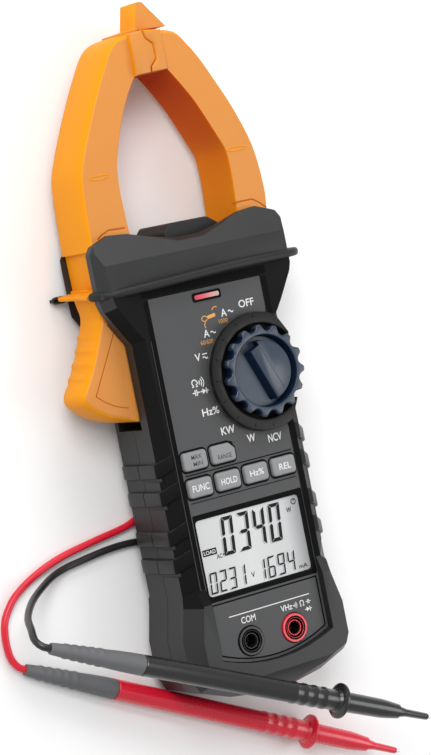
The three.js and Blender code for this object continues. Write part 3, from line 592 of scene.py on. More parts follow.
def makeProbe(color):
    start, toward = (at(point) for point in leadRoutes[color]["probe"])
    r = probe["radius"]
    grooves = []
    for k in range(probe["grooves"]):  # shallow moulded rings near the cord
        s = 6 + 4 * k
        base = 2.65 + 0.045 * s
        grooves += [(s, base), (s + 0.5, base + 0.28), (s + 1.9, base + 0.34), (s + 2.4, base + 0.1)]
    sleeve = [(0, 0), (0, 2.2), (0.4, 2.5), *grooves, (30, 4.1), (38, 4.42), (43.4, 4.5), (44, 4.25), (44, 0)]
    points, faces = lathe(np.array(sleeve) * mm, start, toward)
    pieces = [addPiece(color + "ProbeSleeve", points, faces, "sleeve",
                       hides=(color + "_probe_sleeve",))]
    g, top = probe["guardAt"], probe["guardRadius"]
    ridges = []
    for k in range(probe["ridges"]):  # finger ridges just behind the guard
        s = g - 26 + 5.2 * k
        ridges += [(s, r), (s + 0.8, r + 0.32), (s + 2.0, r + 0.32), (s + 2.8, r)]
    handle = [(44.3, 0), (44.3, r - 0.3), (44.7, r), *ridges, (g - 2.6, r), (g - 1.5, r + 0.9),
              (g - 0.9, top - 0.5), (g - 0.4, top), (g + 0.4, top), (g + 0.9, top - 0.5), (g + 1.3, r + 0.8),
              (g + 2.2, r - 0.1), (g + 22, r - 0.35), (g + 26, r - 0.7), (g + 29, 3.5), (g + 31.5, 3.2),
              (g + 32, 2.4), (180, 2.0), (180.6, 1.75), (192.4, 1.5), (193, 1.2), (193, 0.72), (181, 0.72),
              (181, 0)]
    points, faces = lathe(np.array(handle) * mm, start, toward)
    finish = "probeRed" if color == "red" else "probeBlack"
    pieces.append(addPiece(color + "ProbeHandle", points, faces, finish,
                           hides=(color + "_probe_handle",)))
    tip = [(181.4, 0), (181.4, 0.68), (194.2, 0.68), (194.9, 0.55), (195.3, 0.3), (195.5, 0)]
    points, faces = lathe(np.array(tip) * mm, start, toward, 24)
    pieces.append(addPiece(color + "ProbeTip", points, faces, "steel",
                           hides=(color + "_probe_tip",)))
    return pieces


def makePlug(color):
    start = at(leadRoutes[color]["plug"])
    toward = start - (0, 1, 0)
    r = plug["radius"]
    shroud = [(0, 0), (0, 2.1), (0.5, 2.4), (3, 2.8), (6, 3.8), (8, 4.5), (9, r)]
    for k in range(plug["grooves"]):
        s = 10 + 2.4 * k
        shroud += [(s, r), (s + 0.4, 4.35), (s + 1.2, 4.35), (s + 1.6, r)]
    shroud += [(23.5, r), (24, 4.4), (24.4, 4.1), (40.6, 4.1), (41, 3.8), (41, 3.3), (40.8, 3.1),
               (24, 3.1), (24, 0)]
    points, faces = lathe(np.array(shroud) * mm, start, toward)
    finish = "cordRed" if color == "red" else "cordBlack"
    shell = addPiece(color + "Plug", points, faces, finish, hides=(color + "_plug",))
    pin = [(24.3, 0), (24.3, 2), (30, 2), (31, 2.15), (37, 2.1), (39, 1.7), (40, 1.2), (40, 0)]
    points, faces = lathe(np.array(pin) * mm, start, toward, 28)
    return [shell, addPiece(color + "PlugPin", points, faces, "brass", hides=(color + "_plug_pin",))]


for color in leadRoutes:
    cord, cordLength = makeLead(color)
    makePlug(color) + makeProbe(color)
print("leads laid")

# the waist: its plain side, where the CAD has its bands, the ledge by the panel and the four bands
grip = {"half": 37.5, "kneeZ": 35.0, "slope": 5 / 9, "frontZ": 41.2, "ledge": 31.6, "cadBands": (55, 107.5),
        "centres": (63.5, 75.5, 93, 105), "proud": 1.6, "reach": 3.35, "lift": 3.2, "lowZ": 7, "highZ": 42,
        "seamZ": 22.0, "seam": 0.25}
# the casing's front edge beside the panel, which is moved in to the ledge
panelEdge = {"x": 34.06, "near": 0.4, "y": (49, 161)}
# the rear casing's shoulder beside the moving jaw
shoulder = {"z": 4.8, "x": -44, "y": (176, 232), "shift": 1.2}
# the boss under the dial ends at a straight side between two slanted ones, each (x, y, slope)
boss = {"reach": 26.2, "backZ": 24, "kneeZ": 36, "frontZ": 41, "side": 37.45, "front": 33.6,
        "upper": (29.3, 158.9, -0.59), "lower": (33.4, 122.5, 0.525)}
# the hand guard: its height on the meter, its thickness, where the casing's blade ends on the left,
# and how far its front runs lower there, from (x, z) on and over that many mm each way
guard = {"y": 184.4, "root": 4.6, "rim": 3.2, "bladeY": 184.2, "bladeHalf": 1.4, "bladeEnd": -49.2,
         "dip": 1.8, "dipFrom": (12, 5), "dipOver": (55, 37)}
# the foot of the moving jaw: its stretch of the guard, its column beside the collar, and the front
# that lies under the thumb piece
foot = {"bladeX": -50, "bladeY": 181.5, "bladeShare": 0.2, "columnX": (-50, -40), "columnY": (186.5, 204),
        "wider": 1.3, "over": 6, "sunkY": 184.5, "sunkZ": 27, "sunk": 0.8, "thumbY": 178, "thumbX": -37.7}


def guardDip(x, z):
    # grows towards the left and towards the front
    (startX, startZ), (overX, overZ) = guard["dipFrom"], guard["dipOver"]
    return guard["dip"] * np.clip((startX - x) / overX, 0, 1) * np.clip((z - startZ) / overZ, 0, 1)


def plainWaist(places):
    # the CAD's own bands pressed flat, and the slope along each side carried on to the panel
    x, y, z = places.T.copy()
    plain = grip["half"] - grip["slope"] * np.maximum(z - grip["kneeZ"], 0)
    low, high = grip["cadBands"]
    banded = (y > low) & (y < high) & (np.abs(x) > plain + 0.02) & (z < grip["frontZ"])
    x = np.where(banded, np.sign(x) * plain, x)
    away = np.hypot(x - (dialX - origin[0]) / mm, y - (dialY - origin[1]) / mm)
    bossed = (away < boss["reach"]) & (z > boss["backZ"]) & (z < boss["frontZ"])
    slants = [there + slope * (y - level) for there, level, slope in (boss["upper"], boss["lower"])]
    edge = np.minimum(boss["front"], np.minimum(*slants))
    x = np.where(bossed & (z > boss["kneeZ"]) & (x > edge), edge,
                 np.where(bossed & (x > boss["side"] - 0.05), boss["side"], x))
    # the blade of the hand guard stops short on the left, where the moving jaw has its own
    blade = np.abs(y - guard["bladeY"]) < guard["bladeHalf"]
    x = np.where(blade & (x < guard["bladeEnd"]), guard["bladeEnd"], x)
    y = np.where(blade, y - guardDip(x, z), y)
    low, high = shoulder["y"]
    beside = (z < shoulder["z"]) & (x < shoulder["x"]) & (y > low) & (y < high)
    x = np.where(beside, x + shoulder["shift"], x)
    low, high = panelEdge["y"]
    edged = (z > grip["frontZ"] - 0.1) & (np.abs(np.abs(x) - panelEdge["x"]) < panelEdge["near"])
    x = np.where(edged & (y > low) & (y < high), np.sign(x) * grip["ledge"], x)
    return np.column_stack([x, y, z])


def casingShading(middle, normal):
    # painted shade: the casing's front is darker beside the panel, all but its right side
    x, y, z = middle
    if 44 < y < 176 and z > 35 and -50 < x < 30.5 and normal.z > 0.3:
        return "casingPaintedShade"


def orangeLightAndShade(middle, normal):
    # the front and back keep the plain orange; the walls of the jaws' window take painted shade and the other
    # sides painted light
    x, y = middle[:2]
    if abs(normal.z) > 0.8:
        return "orange"
    inward = normal.x * x < 0 and abs(x) < 38 or normal.y < -0.5
    return "orangeWallPaintedShade" if inward and 203 < y < 275 else "orangeSidePaintedLight"


def trimmedJaw(places):
    # the jaw's own stretch of the hand guard is drawn in, and the thumb piece is left to its own shape
    x, y, z = places.T.copy()
    blade = (x < foot["bladeX"]) & (y > foot["bladeY"])
    y = np.where(blade, y - guardDip(x, z), y)
    x = np.where(blade, foot["bladeX"] + (x - foot["bladeX"]) * foot["bladeShare"], x)
    z = np.where((y < foot["sunkY"]) & (z > foot["sunkZ"]), z - foot["sunk"], z)
    left, right = foot["columnX"]
    low, high = foot["columnY"]
    column = (x < right) & (x > left) & (y > low) & (y < high)
    x = np.where(column, x - foot["wider"] * np.clip((high - y) / foot["over"], 0, 1), x)
    x = np.where((y < foot["thumbY"]) & (x < foot["thumbX"]), foot["thumbX"], x)
    return np.column_stack([x, y, z])


softened("front_casing", "casing", 0.8, moved=plainWaist, painted=casingShading)
softened("rear_casing", "casing", 0.8, moved=plainWaist)
softened("battery_cover", "casingRubber", 0.4)
softened("top_cap", "casingRubber", 0.9)
softened("fixed_jaw", "orange", 1.0, 4, painted=orangeLightAndShade, below=204)
softened("moving_jaw", "orange", 1.0, 4, moved=trimmedJaw, painted=orangeLightAndShade, below=204)
softened("control_panel", "panel", 0.15, 2)
softened("jack_com", "jackBlack", 0.4)
softened("jack_volt", "jackRed", 0.4)


def gripBand(side, y, low, high):
    # a line up the casing's side and over its slope, carrying a flat band with eased edges that
    # climbs along the slope towards the jaws
    line = np.array([(36.2, 7.4), (37.2, 8.4), (37.5, 10), (37.5, 14), (37.5, 21.7), (37.5, 22.3), (37.5, 28),
                     (37.5, 33.6), (37.35, 35.0), (36.7, 36.2), (34.5, 38.4), (32.3, 40.6), (31.9, 41.0)])
    line = line[(line[:, 1] >= low) & (line[:, 1] <= high)]
    step = np.gradient(line, axis=0)
    step /= np.linalg.norm(step, axis=1)[:, None]
    out = np.column_stack([step[:, 1], -step[:, 0]])
    climb = grip["lift"] * np.clip((grip["half"] - line[:, 0]) / 5.6, 0, 1) * (line[:, 1] > 30)
    reach, proud = grip["reach"], grip["proud"]
    section = [(-reach, -0.4), (-reach, proud * 0.5), (-reach + 0.35, proud * 0.9), (-reach + 0.9, proud),
               (reach - 1.1, proud), (reach - 0.5, proud * 0.85), (reach, proud * 0.3), (reach, -0.4)]
    points = []
    for (x, z), (ox, oz), up in zip(line, out, climb):
        points += [(side * (x + rise * ox), y + up + across, z + rise * oz) for across, rise in section]
    count = len(section)
    faces = gridFaces(len(line), count)
    faces += [list(range(count)), list(range((len(line) - 1) * count, len(line) * count))]
    return points, faces


# each arm's outer and inner line in X and Y, and the two halves of the block at the tip with the
# stepped parting between them
jaws = {
    "Left": {
        "body": "jaw",
        "outer": [(-46.2, 202), (-46.2, 207.8), (-45.5, 223.7), (-44.4, 234), (-42.1, 241.3), (-35.7, 255),
                  (-28.6, 268.6), (-23.3, 277.6), (-18.6, 285.0), (-14.2, 288.8), (-9.5, 290.4),
                  (-6.0, 290.8)],
        "inner": [(-6.0, 272.6), (-7.3, 271.4), (-10.8, 266.8), (-16.1, 257.8), (-20.3, 248.1),
                  (-23.7, 238.3), (-24.9, 233), (-25.5, 224.1), (-25.3, 216.4), (-25.2, 210.2),
                  (-24.6, 202)],
        "block": [(-7.7, 289.9), (-8.1, 271.8), (-0.4, 272.2), (-0.1, 274.7), (3.2, 277.9), (3.0, 281.7),
                  (2.8, 284.4), (-0.4, 287.1), (-1.2, 290.9)],
    },
    "Right": {
        "body": "meter",
        "outer": [(46.6, 202), (47.6, 207), (48.2, 213), (47.9, 222), (47.2, 229), (45.7, 236.4),
                  (43.2, 244), (38.9, 254.5), (33.1, 266), (27.3, 276.7), (21.3, 285.1), (18.6, 288),
                  (15, 289.8), (7, 290.8)],
        "inner": [(7, 273.2), (8.6, 272.6), (14.6, 264.2), (19.6, 256.2), (24.4, 246.4), (27.3, 240.2),
                  (30.0, 234), (30.6, 228), (30.6, 220.9), (30.2, 212.4), (29.8, 202)],
        "block": [(0.0, 272.2), (8.3, 272.6), (8.2, 290.0), (-0.8, 290.9), (0.0, 287.3), (3.3, 284.7),
                  (3.5, 281.7), (3.7, 277.7), (0.4, 274.5)],
    },
}
fin = [(-1.2, 291.35), (14.6, 291.35), (5.1, 302.9), (4.4, 303.3), (2.0, 303.3), (1.5, 302.9)]
finBase = [(-9, 287.6), (-1.8, 287.6), (-1.8, 290.6), (-0.4, 291.2), (-0.4, 292.4), (-9, 291.2)]
# Z of each step from back to front, with the distance that the outline is drawn in there
armSteps = [(5, 1.5), (5.4, 0.7), (6.4, 0.15), (9, 0), (20, 0), (27.6, 0.35), (29.2, 0.75), (30.3, 1.35),
            (30.8, 1.9), (31, 2.6)]
blockSteps = [(5, 0.5), (5.5, 0), (32.8, 0), (33.3, 0.15), (33.6, 0.55)]
finSteps = [(14.5, 0.35), (14.9, 0), (27.5, 0), (27.9, 0.12), (28, 0.35)]
finBaseSteps = [(12, 0.2), (12.3, 0), (28.6, 0), (28.8, 0.2)]
innerWeight = 0.22  # the inner edges are drawn in less than the outer ones


def flatLine(points, spacing):
    # a smooth line in X and Y through the points
    return smoothLine(np.column_stack([np.asarray(points, float), np.zeros(len(points))]), spacing)[0][:, :2]


def makeJaws():
    for side, jaw in jaws.items():
        outer, inner = flatLine(jaw["outer"], 2.5), flatLine(jaw["inner"], 2.5)
        outline = np.vstack([outer, inner])
        weight = np.r_[np.ones(len(outer)), np.full(len(inner), innerWeight)]
        weight[[0, len(outer) - 1]] = 0.3
        if side == "Left":
            outline, weight = outline[::-1], weight[::-1]
        shapes = [drawnIn(outline, armSteps, weight), drawnIn(jaw["block"], blockSteps)]
        if side == "Left":
            shapes += [drawnIn(fin, finSteps), drawnIn(finBase, finBaseSteps)]
        points, faces = merged(*shapes)
        piece = addPiece("arm" + side, at(points), faces, "orange", jaw["body"], sharp=38)
        paint(piece, "orange", orangeLightAndShade)


# the steps are (z, how far drawn in, share of the ridges); the ridges lie below "ridgeTop" and left
# of "ridgeSide", and rise along "ridgeWay"
thumb = {"outer": [(-49.0, 187), (-47.6, 180), (-46.8, 174.5), (-49.0, 168.2), (-53.4, 158.6), (-58.2, 149.8),
                   (-61.4, 145.2), (-62.6, 142), (-61.8, 138.8), (-57.8, 134.9), (-51.8, 131), (-46.2, 128.9),
                   (-41.7, 127.8), (-39.2, 127.35)],
         "inner": [(-37.8, 127.1), (-37.8, 163.5), (-38.6, 168), (-40, 187)], "ridges": 4, "ridge": 0.8,
         "ridgeTop": 168, "ridgeSpan": 22, "ridgeSide": -44, "ridgeWay": (-0.87, 0.5), "innerWeight": 0.05,
         "steps": [(10.2, 2.2, 0), (10.6, 1.2, 0), (11.4, 0.4, 0.4), (12.6, 0, 1), (20, 0, 1), (24.6, 0.2, 1),
                   (26.6, 0.5, 0.8), (27.9, 1.0, 0.4), (28.7, 1.7, 0), (29, 2.4, 0)]}


def makeThumb():
    # the piece under the thumb that swings the jaw, with ridges across its outer side
    outer, inner = flatLine(thumb["outer"], 0.9), np.array(thumb["inner"], float)
    outline = np.vstack([outer, inner])
    along = np.clip((thumb["ridgeTop"] - outline[:, 1]) / thumb["ridgeSpan"], 0, 1)
    rise = thumb["ridge"] * np.maximum(np.sin(2 * np.pi * thumb["ridges"] * along), 0) ** 0.6
    rise = (rise * (outline[:, 0] < thumb["ridgeSide"]))[:, None] * np.array(thumb["ridgeWay"])
    weight = np.r_[np.ones(len(outer)), np.full(len(inner), thumb["innerWeight"])]
    weight[len(outer) - 6:len(outer)] = np.linspace(0.9, 0.08, 6)  # eased where the two edges meet
    count = len(outline)
    rings = [np.column_stack([inset(outline, amount * weight[:, None]) + share * rise, np.full(count, z)])
             for z, amount, share in thumb["steps"]]
    faces = gridFaces(len(rings), count) + endFaces(len(rings), count)
    piece = addPiece("thumbPiece", at(np.concatenate(rings)), faces, "orange", "jaw", sharp=38)
    paint(piece, "orange", orangeLightAndShade)


def makeGrip():
    # each band is parted where the two casings meet
    bands = []
    for side in (-1, 1):
        for y in grip["centres"]:
            bands += [gripBand(side, y, grip["lowZ"], grip["seamZ"] - grip["seam"]),
                      gripBand(side, y, grip["seamZ"] + grip["seam"], grip["highZ"])]
    points, faces = merged(*bands)
    piece = addPiece("gripBands", at(points), faces, "casing", sharp=35)

    def shade(middle, normal):
        # painted shade: the bands are darker on the left slope, as the casing's front is there
        if middle[0] < 0 and middle[2] > 35.6 and normal.z > 0.2:
            return "casingPaintedShade"
    paint(piece, "casing", shade)


makeJaws()
makeThumb()
makeGrip()
print("casing and jaws rounded")

# CAD nodes that keep their own shape and only take a finish
carried = {
    "lcd_window": "lcd", "lamp_window": "lamp", "lcd_module": "white", "keypad": "key",
    "selector_rotor": "white", "main_board": "board", "battery": "batteryCan", "buzzer": "jackBlack",
    "fixed_core": "core", "moving_core": "core", "jaw_pivot_pin": "steel", "jaw_spring": "steel",
    "contact_tube_com": "brass", "contact_tube_volt": "brass",
    **{"case_screw_%d" % k: "steel" for k in (1, 2, 3, 4)},
}
for node, finish in carried.items():
    for holder in nodes[node].material_slots:
        holder.material = finishes[finish]

# the selector knob, its ring and the well between them
knob = {"radius": 20.1, "scallops": 15, "ribAngle": 88, "ribShare": 0.12, "depth": 2.4, "disc": 15.6,
        "low": 0.5, "top": 6.9, "floor": 2.4, "flat": 6.5, "angle": 22.5, "sides": 384}
# the ring ends flush with the casing's side, at three planes of (point, outward direction)
ring = {"outer": 25.7, "inner": 20.9, "top": 4.2, "sides": 96, "marks": 9, "markStep": 22.5,
        "markRadii": (22.4, 24.0),
        "cuts": (((35.2, 0, 0), (1, 0, 0)), ((30.4, 159.4, 0), (0.86, 0.51, 0)),
                 ((33.6, 122.5, 0), (0.885, -0.465, 0)))}


def dialPlace(outline):
    # points in mm round the dial's middle, turned with the pointer
    c, s = math.cos(math.radians(knob["angle"])), math.sin(math.radians(knob["angle"]))
    return np.asarray(outline, float) @ np.array([[c, s], [-s, c]]) + (dialX / mm, dialY / mm)


def makeRing():
    outer, inner = ring["outer"], ring["inner"]
    base, top = panelTop / mm, panelTop / mm + ring["top"]
    profile = [(base - 1.6, outer + 0.3), (base - 0.2, outer + 0.3), (base + 0.3, outer + 0.2),
               (base + 1.6, outer + 0.1), (top - 0.3, outer + 0.02), (top - 0.1, outer - 0.1),
               (top, outer - 0.4), (top + 0.12, inner + 0.8), (top + 0.04, inner + 0.3), (top - 0.2, inner),
               (base - 0.9, inner), (base - 0.9, 6), (base - 1.6, 6)]
    points, faces = lathe(profile + profile[:1], (dialX / mm, dialY / mm, 0), (dialX / mm, dialY / mm, 1),
                          ring["sides"])
    piece = addPiece("dialRing", points * mm, faces, "ring", hides=("dial_ring",), sharp=40)
    work = bmesh.new()
    work.from_mesh(piece.data)
    for place, facing in ring["cuts"]:
        keptSide(work, at(place), facing)
    work.to_mesh(piece.data)
    work.free()

    def shade(middle, normal):
        # the outer wall takes the panel's finish, and the wall and floor of the well are black as painted
        # shade
        x, y = middle[:2] * mm + origin[:2]
        away = math.hypot(x - dialX, y - dialY) / mm
        if away > outer + 0.05 and normal.z > -0.5:
            return "panel" if middle[0] < 30 else None
        return "blackTrimAndShade" if away < inner + 0.1 and abs(normal.z) < 0.5 or middle[2] < base - 0.1 else None
    paint(piece, "ring", shade)


def makeKnob():
    # rings of (radius, height, share of the scallop) round the knob; a scallop is the top of a
    # cosine taken off the radius, so that flat ribs stand between rounded hollows
    r, disc, top, low, floor = (knob[key] for key in ("radius", "disc", "top", "low", "floor"))
    rings = [(0, low, 0), (r - 3.2, low, 0.35), (r - 2.0, low + 0.3, 0.45), (r - 1.2, low + 1.2, 0.55),
             (r - 0.5, 3.2, 0.75), (r - 0.05, top - 1.7, 0.95), (r, top - 1.1, 1), (r - 0.15, top - 0.6, 1),
             (r - 0.55, top - 0.2, 1), (r - 1.1, top - 0.02, 0.93), (r - 2.0, top + 0.05, 0.62),
             (r - 3.0, top + 0.05, 0.26), (disc + 0.7, top, 0), (disc + 0.25, top - 0.1, 0),
             (disc, top - 0.4, 0), (disc - 0.15, floor + 0.5, 0), (disc - 0.6, floor, 0),
             (5, floor + 0.05, 0), (0, floor + 0.05, 0)]
    radius, height, share = np.array(rings).T
    angle = np.linspace(0, 2 * np.pi, knob["sides"], endpoint=False)
    swing = 0.5 - 0.5 * np.cos(knob["scallops"] * (angle - math.radians(knob["ribAngle"])))
    swing = np.maximum(swing - knob["ribShare"], 0) / (1 - knob["ribShare"])
    dip = swing * (1.6 - 0.6 * swing)
    spread = radius[:, None] - knob["depth"] * share[:, None] * dip[None]
    x = dialX / mm + spread * np.cos(angle)
    y = dialY / mm + spread * np.sin(angle)
    z = np.broadcast_to((panelTop / mm + height)[:, None], x.shape)
    points = np.stack([x, y, z], -1).reshape(-1, 3) * mm
    piece = addPiece("selectorKnob", points, gridFaces(len(rings), knob["sides"]), "navy",
                     "selector", ("selector_knob",), sharp=40)

    def shade(middle, normal):
        # painted shade: the hollows between the ribs and the wall round the disc are the darker navy
        away = math.hypot(middle[0] + origin[0] / mm - dialX / mm, middle[1] + (origin[1] - dialY) / mm)
        if normal.z < 0.75 and (away < disc + 0.2 or away < r - 1.3):
            return "navyShadeAndMark"
    paint(piece, "navy", shade)


def flatOutline(chord, reach, notch=3.4, stepY=10.9):
    # a straight edge on the left, an arc on the right and a step at the pointer's end
    end = math.asin(math.sqrt(1 - (notch / reach) ** 2))
    start = -math.acos(chord / reach)
    sweep = np.linspace(start, end, 40)
    arcPoints = np.column_stack([reach * np.cos(sweep), reach * np.sin(sweep)])
    return np.vstack([arcPoints, [(notch, stepY), (chord, stepY), (chord, 0)]])


def makeSelectorFlat():
    # the raised half of the disc with the pointer's line; its levels are (chord, reach, z)
    high = panelTop / mm + knob["flat"]
    low = panelTop / mm + knob["floor"] - 0.1
    levels = [(-3.3, 13.3, low), (-1.9, 13.2, high - 0.8), (-1.55, 13.1, high - 0.25), (-1.2, 12.8, high)]
    loops = []
    for chord, reach, z in levels:
        outline = dialPlace(flatOutline(chord, reach))
        loops.append(np.column_stack([outline, np.full(len(outline), z)]))
    count = len(loops[0])
    faces = gridFaces(len(loops), count) + endFaces(len(loops), count)
    piece = addPiece("selectorFlat", np.concatenate(loops) * mm, faces, "navy", "selector",
                     sharp=40)
    # the flat's side walls take the darker navy as painted shade
    paint(piece, "navy", lambda middle, normal: "navyShadeAndMark" if normal.z < 0.7 else None)
    line = dialPlace(stroke([(3.4, 10.7), (3.45, 5), (3.5, 0), (3.6, -6), (3.7, -11.6)], 0.16))
    points, faces = prism(line, high - 0.03, high + 0.02)
    addPiece("selectorMark", points * mm, faces, "navyShadeAndMark", "selector")


makeRing()
makeKnob()
makeSelectorFlat()
print("selector made")

keys = {"width": 12.2, "height": 8.0, "corner": 1.5, "rise": 1.6, "cut": 2.6, "travel": 1.2}
keySpots = {name: spot("button_" + name)[:2] / mm
            for name in ("max_min", "range", "func", "hold", "hz", "rel")}


def keyOutline(name, grow=0.0):
    x, y = keySpots[name]
    width, height = keys["width"] + 2 * grow, keys["height"] + 2 * grow
    if name != "range":
        return roundedOutline(x, y, width, height, keys["corner"] + grow)
    # this key's upper right corner, six points of the outline, is cut off
    right, top, cut = x + width / 2, y + height / 2, keys["cut"] + grow * 0.6
    points = roundedOutline(x, y, width, height, keys["corner"] + grow)
    return np.vstack([points[:6], [(right, top - cut - 0.4), (right - 0.2, top - cut + 0.1),
                                   (right - cut + 0.1, top - 0.2), (right - cut - 0.4, top)], points[12:]])


def makeKeys():
    # the key's foot clears the keypad when it is pressed
    low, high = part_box("keypad")[1][2] / mm + keys["travel"] + 0.1, panelTop / mm + keys["rise"]
    steps = [(low, 0), (high - 0.9, 0), (high - 0.35, 0.18), (high - 0.08, 0.5), (high, 0.9),
             (high + 0.02, 1.3)]
    for name in keySpots:
        points, faces = drawnIn(keyOutline(name), steps)
        addPiece("key_" + name, points * mm, faces, "key", name + "_button",
                 ("button_" + name,), 40)


def makeKeyWells():
    # painted shade: a black edge round each key for the well it stands in, as a ring between two outlines
    rings = []
    top = panelTop / mm
    for name in keySpots:
        outer, inner = keyOutline(name, 0.95), keyOutline(name, 0.33)
        count = len(outer)
        loops = [(outer, top - 0.05), (outer, top + 0.10), (inner, top + 0.10), (inner, top - 0.05)]
        points = np.concatenate([np.column_stack([loop, np.full(count, z)]) for loop, z in loops])
        faces = gridFaces(4, count)
        faces += [[3 * count + k, 3 * count + (k + 1) % count, (k + 1) % count, k] for k in range(count)]
        rings.append((points, faces))
    points, faces = merged(*rings)
    addPiece("keyWells", points * mm, faces, "blackTrimAndShade")


makeKeys()
makeKeyWells()
print("keys made")


def arc(x, y, radius, start, end, count=14):
    angle = np.radians(np.linspace(start, end, count))
    return np.column_stack([x + radius * np.cos(angle), y + radius * np.sin(angle)])


def wave(x, y, width, height):
    # one period of a sine line about its middle
    t = np.linspace(-0.5, 0.5, 17)
    return np.column_stack([x + t * width, y - height * np.sin(2 * np.pi * t)])


def letters(text, x, y, height, width, z, bold=0.012):
    # filled letters with their box centred on x, y, drawn to that height and width
    curve = bpy.data.curves.new("letters", "FONT")
    curve.body = text
    curve.offset = bold
    curve.extrude = 0.05
    curve.resolution_u = 3
    holder = bpy.data.objects.new("letters", curve)
    bpy.context.collection.objects.link(holder)
    bpy.context.view_layer.update()
    mesh = bpy.data.meshes.new_from_object(holder.evaluated_get(bpy.context.evaluated_depsgraph_get()))
    points = np.zeros(len(mesh.vertices) * 3)
    mesh.vertices.foreach_get("co", points)
    points = points.reshape(-1, 3)
    faces = [list(face.vertices) for face in mesh.polygons]
    bpy.data.objects.remove(holder)
    low, high = points.min(0), points.max(0)
    scale = np.array([width, height, 0.05]) / (high - low)
    return (points - (low + high) / 2) * scale + (x, y, z), faces


def linePrism(line, width, z, thick=0.05):
    return prism(stroke(line, width), z - thick / 2, z + thick / 2)


panelZ = panelTop / mm + 0.015
keyZ = panelTop / mm + keys["rise"] + 0.035


def makePanelPrint():
    z = panelZ
    words = [("OFF", 19.4, 167.2, 3.3, 7.9), ("A", 7.2, 165.2, 3.3, 2.9), ("A", -3.4, 158.0, 3.3, 2.9),
             ("V", -10.0, 148.8, 3.2, 2.9), ("Hz%", -8.9, 125.1, 3.3, 8.6), ("KW", -2.2, 115.4, 3.4, 7.0),
             ("W", 8.6, 109.6, 3.4, 4.2), ("NCV", 20.6, 107.4, 3.5, 7.0), ("COM", -10.7, 34.0, 2.9, 7.4),
             ("VHz", 9.4, 33.9, 2.7, 6.0)]
    shapes = [letters(word, x, y, height, width, z) for word, x, y, height, width in words]
    for x, y in ((10.8, 165.2), (0.1, 158.0), (-6.3, 148.1)):
        shapes.append(linePrism(wave(x, y, 2.6, 0.45), 0.5, z))
    shapes.append(linePrism([(-7.6, 149.7), (-6.3, 149.7), (-5.0, 149.7)], 0.5, z))
    # resistance and sounder signs over capacitor and diode signs, and the same four by the red jack
    shapes += ohmSign(-14.2, 138.3, 1.0, z) + sounderSign(-11.2, 138.2, 1.0, z)
    shapes += capacitorSign(-14.2, 134.2, 1.0, z) + diodeSign(-9.9, 134.2, 1.0, z)
    shapes += sounderSign(13.9, 33.8, 0.62, z) + ohmSign(17.6, 33.9, 0.78, z)
    shapes += capacitorSign(21.0, 33.9, 0.72, z) + diodeSign(20.4, 30.7, 0.85, z)
    shapes.append(linePrism([(-20.1, 37.0), (1, 37.0), (22.2, 37.0)], 0.42, z))
    points, faces = merged(*shapes)
    addPiece("panelPrint", at(points), faces, "printWhite")
    orange = [letters("1000", 6.2, 161.8, 1.9, 4.4, z, -0.004),
              letters("60/600", -3.9, 154.4, 1.9, 6.4, z, -0.004)]
    # a small open clamp with a line to each range
    clamp = [arc(-2.9, 164.0, 1.5, 25, 165), arc(-2.9, 164.7, 1.5, 195, 335)]
    ranges = [arc(3.4, 166.6, 1.9, 60, 160, 8), arc(-1.6, 161.4, 1.8, 130, 215, 8)]
    orange += [linePrism(line, 0.38, z) for line in clamp]
    orange.append(prism(roundedOutline(0.7, 164.9, 4.2, 1.5, 0.4, 8), z - 0.025, z + 0.025))
    orange += [linePrism(line, 0.38, z) for line in ranges]
    points, faces = merged(*orange)
    addPiece("panelPrintOrange", at(points), faces, "printOrange")


def ohmSign(x, y, k, z):
    # an open circle standing on two feet
    circle = arc(x, y + 0.2 * k, 1.25 * k, -62, 242, 22)
    feet = [[(x - 1.5 * k, y - 1.45 * k), (x - 1.0 * k, y - 1.45 * k), (x - 0.45 * k, y - 1.45 * k)],
            [(x + 0.45 * k, y - 1.45 * k), (x + 1.0 * k, y - 1.45 * k), (x + 1.5 * k, y - 1.45 * k)]]
    return [linePrism(circle, 0.48 * k, z)] + [linePrism(toe, 0.48 * k, z) for toe in feet]


def sounderSign(x, y, k, z):
    # a dot and three widening arcs
    marks = [linePrism(arc(x - 1.4 * k, y, 0.28 * k, 0, 350, 10), 0.5 * k, z)]
    return marks + [linePrism(arc(x - 1.6 * k, y, r * k, -42, 42, 8), 0.42 * k, z) for r in (1.3, 2.3, 3.3)]


def capacitorSign(x, y, k, z):
    # two plates with a wire to each
    bars = [[(x - 0.42 * k, y + t * k) for t in (-1.3, 0, 1.3)],
            [(x + 0.42 * k, y + t * k) for t in (-1.3, 0, 1.3)],
            [(x + t * k, y) for t in (-1.8, -1.2, -0.6)], [(x + t * k, y) for t in (0.6, 1.2, 1.8)]]
    return [linePrism(bar, 0.48 * k, z) for bar in bars]


def diodeSign(x, y, k, z):
    # a filled arrow against a bar, with a wire to each
    body = [(x - 1.0 * k, y - 1.2 * k), (x + 0.9 * k, y), (x - 1.0 * k, y + 1.2 * k)]
    lines = [[(x + 1.05 * k, y + t * k) for t in (-1.25, 0, 1.25)],
             [(x + t * k, y) for t in (-2.1, -1.5, -1.0)], [(x + t * k, y) for t in (1.2, 1.6, 2.1)]]
    return [prism(body, z - 0.025, z + 0.025)] + [linePrism(line, 0.45 * k, z) for line in lines]


makePanelPrint()

